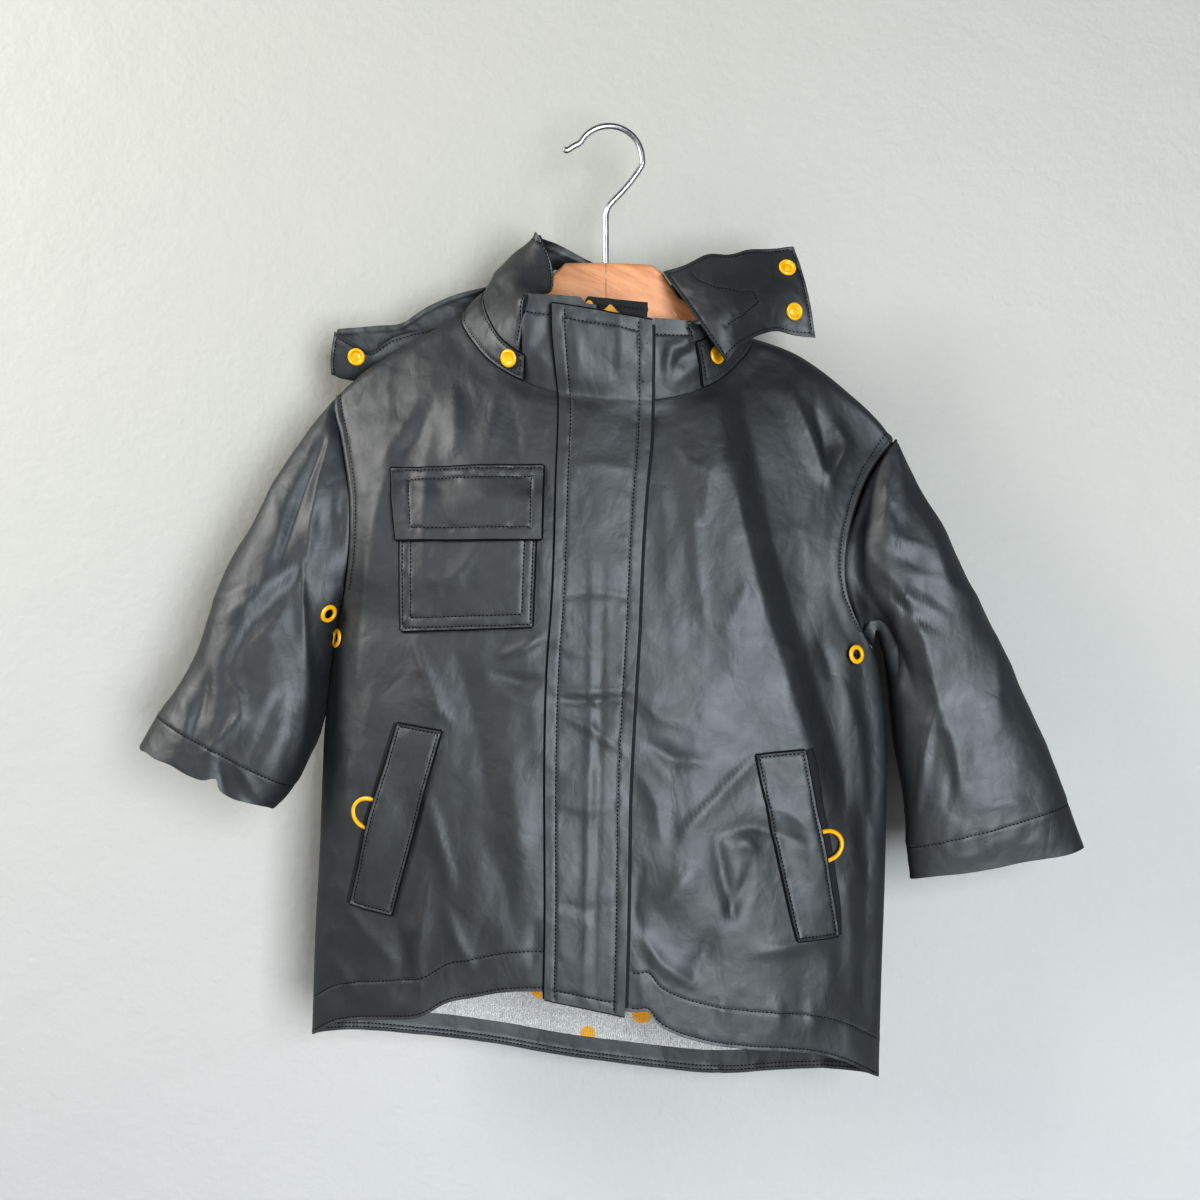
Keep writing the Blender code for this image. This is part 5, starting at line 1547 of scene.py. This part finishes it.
# %% Welts and pocket mouths
def welt(side):
    def surface(s, t):
        open_edge = 4.4 * smooth(s, 0.1, 0.85) * np.exp(-(((t - 0.5) / 0.25) ** 2))
        return lifted(*patch_xz(WELT[side], s, t), 0.6 + WALL + open_edge)

    return surface


def mouth(side, gape):
    """The opening beside a welt, as near-black cloth that is painted shade, with the far lip of the
    pocket.
    """
    a, b, c = (np.array(p, float) for p in WELT[side][:3])

    def surface(s, t):
        s, t = np.broadcast_arrays(np.asarray(s, float), np.asarray(t, float))
        wide = 0.6 + gape * humped(t) ** 0.8 + 2.2
        edge = b + (c - b) * t[..., None]
        across = (b - a) / np.linalg.norm(b - a)
        p = edge + across * ((s - 1) * 9.4 + s * wide)[..., None]
        lip = 0.9 * np.exp(-((((1 - s) * (9.4 + wide) - 1.1) / 0.9) ** 2))
        return lifted(p[..., 0], p[..., 1], 0.45 + lip)

    return surface


for side, name in SIDES:
    lines = frame_lines(29, 121, 1.7, 1.7, 1.7, 1.7)
    panel = faced(welt(side), lines, nudge=(0.01, 0.005), pucker=0.35)
    grid = grid_of(spaced(29, 1.6, (1.7, 27.3)), spaced(121, 2.0, (1.7, 119.3)))
    sew(f"welt_{name}", panel, grid, shaded_edges="aAbB")
    gape = 1.4 if side < 0 else 4.2
    lip = faced(mouth(side, gape), nudge=(0.01, 0.005))
    grid = grid_of(spaced(12 + gape, 0.8), spaced(121, 2.0))
    # The mouth's near-black outside is painted shade, for the shadow inside the pocket's opening.
    sew(f"pocket_mouth_{name}", lip, grid, outside=painted_shade, inside=coating, wall=0.35, stands=False)

# %% [markdown]
# ## The hood
#
# The hood is snapped on round the neck by a narrow band. Above the band its two sides
# stand round the neck, and the rest hangs behind as a flattened bag. Its front corners
# are tabs with snaps: one lies over the shoulder, the other has dropped behind it.

# %% Bands and standing sides
def hood_rumple(points, normals):
    return 0.6 * ruffle(points, (26, 26, 26), 61) + 0.35 * crumple(points, 12, 62)


def soft_rumple(points, normals):
    return 0.4 * ruffle(points, 20, 63) + 0.2 * crumple(points, 9, 64)


def band(side):
    def surface(k, h):
        top = curve(k, BAND_TOP[side])
        return collar(k if side < 0 else 32 - k, 0.02 + (top - 0.02) * h, 0.6 + WALL)

    return surface


BANDS = {}
for side, name in SIDES:
    first = BAND_START[side] + 0.15
    round_neck = np.linspace(first, 12.9, 60)
    lines = [[(n, h) for n in round_neck] for h in (0.9, 0.1)]
    lines.append([(first, h) for h in np.linspace(0.1, 0.9, 12)])
    k = np.concatenate([first - np.array((0.15, 0.1, 0.03)), np.linspace(first + 0.1, 13, 90)])
    shows = (side * 0.2, -1, 0)
    BANDS[side] = Panel(band(side), (4, 0.5), shows, (0.05, 0.05), soft_rumple, lines, pucker=0.2)
    sew(f"hood_band_{name}", BANDS[side], grid_of(k, np.linspace(0, 1, 16)), shaded_edges="abB")

    rim = [(n, 4.72) for n in np.linspace(2.5, 13.9, 80)]
    front_edge = [(2.5, r) for r in np.linspace(0.3, 4.9, 30)]
    k = np.concatenate([[2.35, 2.39, 2.45, 2.5, 2.55, 2.62], np.linspace(2.75, 14, 110)])
    r = np.concatenate([np.linspace(0, 4.5, 40), (4.6, 4.66, 4.72, 4.78, 4.84, 4.9, 4.96, 5)])
    panel = Panel(
        hood_side(side), (7, 1), (side, 0, 0), (0.05, 0.03), hood_rumple, [rim, front_edge]
    )
    sew(f"hood_side_{name}", panel, grid_of(k, r), wall=1.3)

# %% The part that hangs behind, and the lining of the lower back
BAG = Panel(hood_back, (4, 0.75), (0, 1, 0), (0.03, 0.004), hood_rumple)
k = np.concatenate([(0, 0.03), np.linspace(0.1, 8.9, 80), (8.97, 9)])
sew("hood_back", BAG, grid_of(k, np.linspace(0, 1, 129)), closed=True)


def lining_back(u, v):
    p = back(u, v)
    p[..., 1] -= WALL + 0.9
    return p


def lining_rumple(points, normals):
    return -back_rumple(points, normals) + 0.8 * ruffle(points, (24, 30, 26), 71) ** 2


LINING = Panel(lining_back, (0.1, 15), (0, -1, 0), (0.03, 0.03), lining_rumple)
grid = grid_of(np.linspace(-11.6, 11.6, 100), joined(np.linspace(8, 21.5, 60), (21.53, 21.55)))
sew("lining_back", LINING, grid, outside=jersey, wall=1.0)

# %% Tabs
def tab_lines(rows, columns, inset_a, inset_b):
    """Stitched lines inside the four edges of a tab's table."""
    a0, a1, b0, b1 = inset_a, rows - 1 - inset_a, inset_b, columns - 1 - inset_b
    steps = np.linspace(0, 1, 18)
    down = [[(a0 + (a1 - a0) * n, b) for n in steps] for b in (b0, b1)]
    return down + [[(a, b0 + (b1 - b0) * n) for n in steps] for a in (a0, a1)]


tab_left, tab_right = patch_through(TAB_LEFT), patch_through(TAB_RIGHT)


def near_xz(surface, shape, x, z):
    """The place on a tab that lies at x, z as seen from the front, on its front side."""
    a, b = grid_of(np.linspace(0, shape[0] - 1, 121), np.linspace(0, shape[1] - 1, 91))
    p = surface(a, b)
    far = np.hypot(p[..., 0] - x, p[..., 2] - z) + 0.02 * p[..., 1]
    i = np.unravel_index(np.argmin(far), far.shape)
    return float(a[i]), float(b[i])


CURVED = (
    (50, -100), (56, -107), (66, -113), (78, -115), (90, -113.5), (93, -121), (83, -131), (71, -139)
)
curved = [near_xz(tab_left, (7, 4), x, z) for x, z in CURVED]
lines = tab_lines(7, 4, 0.14, 0.12) + [curved]
TABS = {1: Panel(tab_left, (3, 1.5), (0, -1, 0.3), (0.02, 0.02), soft_rumple, lines)}
a = joined(np.linspace(0, 6, 78), (0.04, 5.96), digits=12)
b = joined(np.linspace(0, 3, 56), (0.03, 2.97), digits=12)
sew("chin_tab_left", TABS[1], grid_of(a, b), wall=1.6)

lines = tab_lines(7, 5, 0.14, 0.14)
TABS[-1] = Panel(tab_right, (3, 3.5), (0, -1, 0), (0.02, 0.02), soft_rumple, lines)
a = joined(np.linspace(0, 6, 74), (0.04, 5.96), digits=12)
b = joined(np.linspace(0, 4, 64), (0.04, 3.96), digits=12)
sew("chin_tab_right", TABS[-1], grid_of(a, b), wall=1.3)

# %% [markdown]
# ## Threads
#
# Every stitched line is now sewn. A stitch is one short bead of thread that lies in the
# groove, sunk at both ends, and they all follow the finished surface.

# %% Sew the lines
def bead_template():
    """A bead's points about its middle, in metres, and its faces."""
    bm = bmesh.new()
    bmesh.ops.create_uvsphere(bm, u_segments=6, v_segments=4, radius=1.0)
    bmesh.ops.rotate(bm, cent=(0, 0, 0), matrix=Matrix.Rotation(np.pi / 2, 3, "Y"), verts=bm.verts)
    points = np.array([v.co[:] for v in bm.verts]) * (1.0 * MM, 0.42 * MM, 0.36 * MM)
    bm.verts.index_update()
    faces = [[v.index for v in f.verts] for f in bm.faces]
    bm.free()
    return points, faces


BEAD, BEAD_FACES = bead_template()


def sewn_line(panel, line, sink, pitch=2.55):
    """Places and directions of the stitches along a line of a panel."""
    p, n = panel.worked(*panel.along(line, 900))
    far = lengths(p, 0)

    def take(d, values):
        return np.stack([np.interp(d, far, column) for column in values.T], -1)

    at = np.arange(pitch * 0.6, far[-1] - pitch * 0.5, pitch)
    ahead = unit(take(at + 1.3, p) - take(at - 1.3, p))
    across = unit(np.cross(unit(take(at, n)), ahead))
    normal = np.cross(ahead, across)
    return take(at, p) + normal * sink, ahead, across, normal


sewn = {}
for name, panel, line, depth in THREAD_RUNS:
    verts, faces = sewn.setdefault(name, ([], []))
    for m, x, y, z in zip(*sewn_line(panel, line, 0.05 - depth)):
        faces.extend([len(verts) + n for n in face] for face in BEAD_FACES)
        verts.extend(m * MM + BEAD @ np.array((x, y, z)))
beads = sum(len(faces) for verts, faces in sewn.values()) // len(BEAD_FACES)
# Dark cords of thread under the shaded edges: painted shade, for the gaps there. They go into the
# same objects as the stitches.
for name, centre, away, up in SHADE_CORDS:
    verts, faces = sewn.setdefault(name, ([], []))
    base, count = len(verts), len(centre)
    for turn in np.arange(5) * 2 * np.pi / 5:
        verts.extend((centre + 0.6 * (away * np.cos(turn) + up * np.sin(turn))) * MM)
    for side in range(5):
        near, far = base + side * count, base + (side + 1) % 5 * count
        faces.extend((near + n, near + n + 1, far + n + 1, far + n) for n in range(count - 1))
for name, (verts, faces) in sewn.items():
    mesh = bpy.data.meshes.new(name + "_stitches_and_shade_cords")
    mesh.from_pydata(np.array(verts).tolist(), [], faces)
    for face in mesh.polygons:
        face.use_smooth = True
    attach(linked(mesh, thread.material), "root")
print("stitches:", beads)

# %% [markdown]
# ## Fittings
#
# Snaps and eyelets are pressed from sheet metal, so each is a profile turned about its
# axis. The wire rings and the hook are bent wire: a round section swept along a path.

# %% Snaps and eyelets
SNAP = (
    (0, 0.3), (4.9, 0.35), (5.6, 0.55), (5.9, 1.0), (5.7, 1.55), (5.1, 1.95), (4.4, 2.15),
    (3.9, 2.1), (3.6, 1.75), (3.2, 1.55), (1.6, 1.5), (0, 1.5)
)
RING_SNAP = (
    (0, 0.3), (5.2, 0.35), (5.75, 0.7), (5.9, 1.2), (5.65, 1.9), (5.1, 2.35), (4.5, 2.45),
    (4.0, 2.2), (3.5, 1.5), (3.1, 1.1), (2.6, 1.0), (2.2, 1.35), (1.2, 1.5), (0, 1.5)
)
EYELET = (
    (3.1, -0.6), (3.1, 0.9), (3.3, 1.35), (3.8, 1.65), (4.6, 1.7), (5.4, 1.45), (6.0, 1.0),
    (6.25, 0.5), (6.1, 0.2), (4.0, 0.1), (3.5, -0.6)
)


def turned(name, profile, centre, normal, node, ring=False):
    """A profile turned about the normal at its centre."""
    bm = bmesh.new()
    line = [bm.verts.new((r * MM, 0, h * MM)) for r, h in profile]
    pairs = list(zip(line, line[1:])) + ([(line[-1], line[0])] if ring else [])
    rim = [bm.edges.new(pair) for pair in pairs]
    round_once = {"axis": (0, 0, 1), "cent": (0, 0, 0), "angle": 2 * np.pi, "steps": 32}
    bmesh.ops.spin(bm, geom=line + rim, **round_once)
    bmesh.ops.remove_doubles(bm, verts=bm.verts, dist=1e-6)
    bmesh.ops.recalc_face_normals(bm, faces=bm.faces)
    turn = Vector((0, 0, 1)).rotation_difference(Vector(normal)).to_matrix().to_4x4()
    place = Matrix.Translation(Vector(centre * MM)) @ turn
    bmesh.ops.transform(bm, matrix=place, verts=bm.verts)
    placed(name, bm, lacquer, node)


def placed(name, bm, finish, node):
    for face in bm.faces:
        face.smooth = True
    made = linked(closed_mesh(name, bm), finish.material)
    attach(made, "root")
    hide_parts(node)


def on(panel, a, b):
    """A point of a finished surface, and the way out of it."""
    p, n = panel.worked(np.array([float(a)]), np.array([float(b)]))
    return p[0], n[0]


for name, x, z in (("upper", 113.6, -94.6), ("lower", 117.4, -123.7)):
    spot = on(TABS[1], *near_xz(tab_left, (7, 4), x, z))
    turned(f"tab_left_{name}_press", RING_SNAP, *spot, f"snap_tab_left_{name}")
spot = on(TABS[-1], *near_xz(tab_right, (7, 5), -169.6, -149.2))
turned("tab_right_press", RING_SNAP, *spot, "snap_tab_right")
for side, name, k, high in ((-1, "right", 2.75, 0.2), (1, "left", 3.8, 0.37)):
    spot = on(BANDS[side], k, high / curve(k, BAND_TOP[side]))
    turned(f"band_{name}_press", SNAP, *spot, f"snap_band_{name}")

for side, name in SIDES:
    p, outer = (lifted(*np.array(EYELET_PLACE[side]), lift) for lift in (0.15, 3.0))
    turned(f"body_{name}_eye", EYELET, p, unit(outer - p), f"eyelet_body_{name}", ring=True)
    p, n = on(SLEEVES[side], *SLEEVE_EYE[side])
    turned(f"sleeve_{name}_eye", EYELET, p + 0.2 * n, n, f"eyelet_sleeve_{name}", ring=True)

# %% Bent wire
def wire(name, path, radius, finish, node, closed=False, sides=16):
    """A round section swept along a smooth path, as a mesh."""
    path = np.array(path, float)
    if closed:
        t = np.linspace(1, len(path) + 1, len(path) * 5 + 1)[:-1]
        stack = np.concatenate([path[-2:], path, path[:3]])
    else:
        t = np.linspace(0, len(path) - 1, (len(path) - 1) * 5 + 1)
        stack = stretched(path)
    i = np.minimum(np.floor(t).astype(int), len(stack) - 4)
    p = sum(stack[i + m] * w[:, None] for m, w in enumerate(weights(t - i)))
    ahead = unit(np.roll(p, -1, 0) - np.roll(p, 1, 0)) if closed else unit(np.gradient(p, axis=0))
    bm = bmesh.new()
    rings = []
    for q, d in zip(p, ahead):
        a = unit(np.cross(d, (0.12, 1.0, 0.05)))
        b = np.cross(d, a)
        angle = np.arange(sides)[:, None] * 2 * np.pi / sides
        rings.append(outline(bm, (q + radius * (np.cos(angle) * a + np.sin(angle) * b)) * MM))
    for first, second in zip(rings, rings[1:] + rings[:1] if closed else rings[1:]):
        bmesh.ops.bridge_loops(bm, edges=first + second)
    for end, way in () if closed else ((0, -1), (-1, 1)):
        tip = bm.verts.new((p[end] + way * ahead[end] * radius * 0.7) * MM)
        for e in rings[end]:
            bm.faces.new((e.verts[0], e.verts[1], tip))
    bmesh.ops.recalc_face_normals(bm, faces=bm.faces)
    placed(name, bm, finish, node)


def outline(bm, points):
    """Closed edges through points."""
    verts = [bm.verts.new(p) for p in points]
    return [bm.edges.new(pair) for pair in zip(verts, verts[1:] + verts[:1])]


LIFT = 2.15  # from the front's cloth to the middle of a ring's wire, in mm
loop = [
    (-3.4, -8.2), (-3.6, -4), (-3.6, 0), (-3.6, 4), (-3.4, 8.2), (-2.4, 9.2), (0, 9.4), (5, 9.2)
]
loop += [
    (5 + 10.8 * np.cos(t), 9.2 * np.sin(t)) for t in np.radians((65, 42, 20, 0, -20, -42, -65))
]
loop += [(5, -9.2), (0, -9.4), (-2.4, -9.2)]
for side, name in SIDES:
    x, z = RING[side]
    near = ((0, 0), (9, 0), (-2.4, 10), (2.4, -10))
    p, outer, top, low = (lifted(*np.array((x + side * dx, z + dz)), LIFT) for dx, dz in near)
    down = unit(low - top)
    ahead = unit(outer - p - down * np.dot(outer - p, down))
    path = [p + ahead * m + down * n for m, n in loop]
    wire(f"pull_ring_{name}", path, 1.5, lacquer, f"ring_{name}", closed=True)

bend = [
    (-4, -93.5), (-4, -74), (-4, -60), (-3.9, -56.6), (-3.2, -53.4), (-1.7, -50.4), (0.6, -47.7),
    (8, -40), (14.5, -32)
]
arc = np.radians(np.linspace(-10, 150, 15))
bend += [(-2 + 22.0 * np.cos(t), -20.2 + 22.2 * np.sin(t)) for t in arc]
bend += [(-25.5, -11.5), (-29.5, -14), (-31.5, -13.5)]
wire("hook_wire", [(x, 0, z) for x, z in bend], 2.0, chrome, "hook", sides=20)

# %% [markdown]
# ## The wooden hanger
#
# Two arms of beech meet under the hook. Each is sawn from a board, so its front and back
# are flat and its edges are rounded over. The collar hides the middle, and the shoulders
# rest on the rest of it. The joint shows as a fine line below the hook.

# %% Both arms
def arm_section(half, low, top):
    """A rounded outline of an arm: y and z of its corner curves, all the way round."""
    middle, tall = (low + top) / 2, (top - low) / 2
    rounded = min(3.4, half * 0.62, tall * 0.9)
    out = []
    for cy, cz, start in ((1, 1, 0), (-1, 1, 90), (-1, -1, 180), (1, -1, 270)):
        for t in np.radians(np.linspace(start, start + 90, 6)):
            y = cy * (half - rounded) + rounded * np.cos(t)
            out.append((y, middle + cz * (tall - rounded) + rounded * np.sin(t)))
    return out


def under_shoulder(x):
    """The arm's top edge where the coat rests on it, found in two steps."""
    top = -150.0
    for _ in range(2):
        top = float(two_sided(np.array(unhang(x, top)[0]), SHOULDER)) - 0.075 * x
    return top - 4.0


for side, name in SIDES:
    stations = [
        (x, under_shoulder(x) if top is None else top, *rest) for x, top, *rest in ARM[side]
    ]
    stations = np.array(stations)[::side]
    xs = stations[:, 0]
    fine = np.unique(np.concatenate([np.linspace(xs[0], xs[-1], 60), xs]))
    rows = [np.interp(fine, xs, column) for column in stations.T]
    bm = bmesh.new()
    loops = []
    for x, top, low, half in list(zip(*rows))[::side]:
        section = arm_section(half, low, top)
        loops.append(outline(bm, [(x * MM, y * MM, z * MM) for y, z in section]))
    for first, second in zip(loops, loops[1:]):
        bmesh.ops.bridge_loops(bm, edges=first + second)
    for ring in (loops[0], loops[-1]):
        bmesh.ops.contextual_create(bm, geom=ring)
        for e in ring:
            e.smooth = False
    bmesh.ops.recalc_face_normals(bm, faces=bm.faces)
    placed(f"arm_{name}_wood", bm, beech, f"hanger_arm_{name}")

# %% [markdown]
# ## What was cut from cloth
#
# The size that each cloth piece was cut to is worked out from the lengths and the area
# of its finished surface, creases included. What it lies on and what it carries are listed too.

FRONTS = ("front_right_cloth", "front_left_cloth")
RESTS = {
    "back": ("arm_right_wood", "arm_left_wood"),
    "collar": (*FRONTS, "back_cloth"),
    "lining_back": ("back_cloth",),
    "storm_flap": FRONTS[1:],
    "strip_binding": FRONTS[1:],
    "zip_tape": FRONTS,
    "zip_guard": FRONTS[:1],
    "chest_pocket": FRONTS[:1],
    "chest_flap": FRONTS[:1],
    "hood_back": ("hood_side_right_cloth", "hood_side_left_cloth"),
    "chin_tab_right": ("hood_back_cloth",),
    "chin_tab_left": ("hood_side_left_cloth", FRONTS[1]),
}
CARRIES = {
    "chin_tab_left": ("tab_left_upper_press", "tab_left_lower_press"),
    "chin_tab_right": ("tab_right_press",),
}
for side, name in SIDES:
    front_cloth = f"front_{name}_cloth"
    RESTS[f"front_{name}"] = (f"arm_{name}_wood",)
    RESTS[f"sleeve_{name}"] = (front_cloth, "back_cloth")
    RESTS[f"welt_{name}"] = RESTS[f"pocket_mouth_{name}"] = (front_cloth,)
    RESTS[f"hood_band_{name}"] = ("collar_cloth",)
    RESTS[f"hood_side_{name}"] = (f"hood_band_{name}_cloth",)
    CARRIES[f"front_{name}"] = (f"body_{name}_eye",)
    CARRIES[f"sleeve_{name}"] = (f"sleeve_{name}_eye",)
    CARRIES[f"welt_{name}"] = (f"pull_ring_{name}",)
    CARRIES[f"hood_band_{name}"] = (f"band_{name}_press",)

for name, made, wide, long, area in SHEETS:
    scale = max(1.0, area / (wide * long * 0.999)) ** 0.5
    flat = (round(wide * scale, 4), round(long * scale, 4))
    pieces = (name + "_stitches_and_shade_cords", *CARRIES.get(name, ()))
    carried = [bpy.data.objects[piece] for piece in pieces if piece in bpy.data.objects]
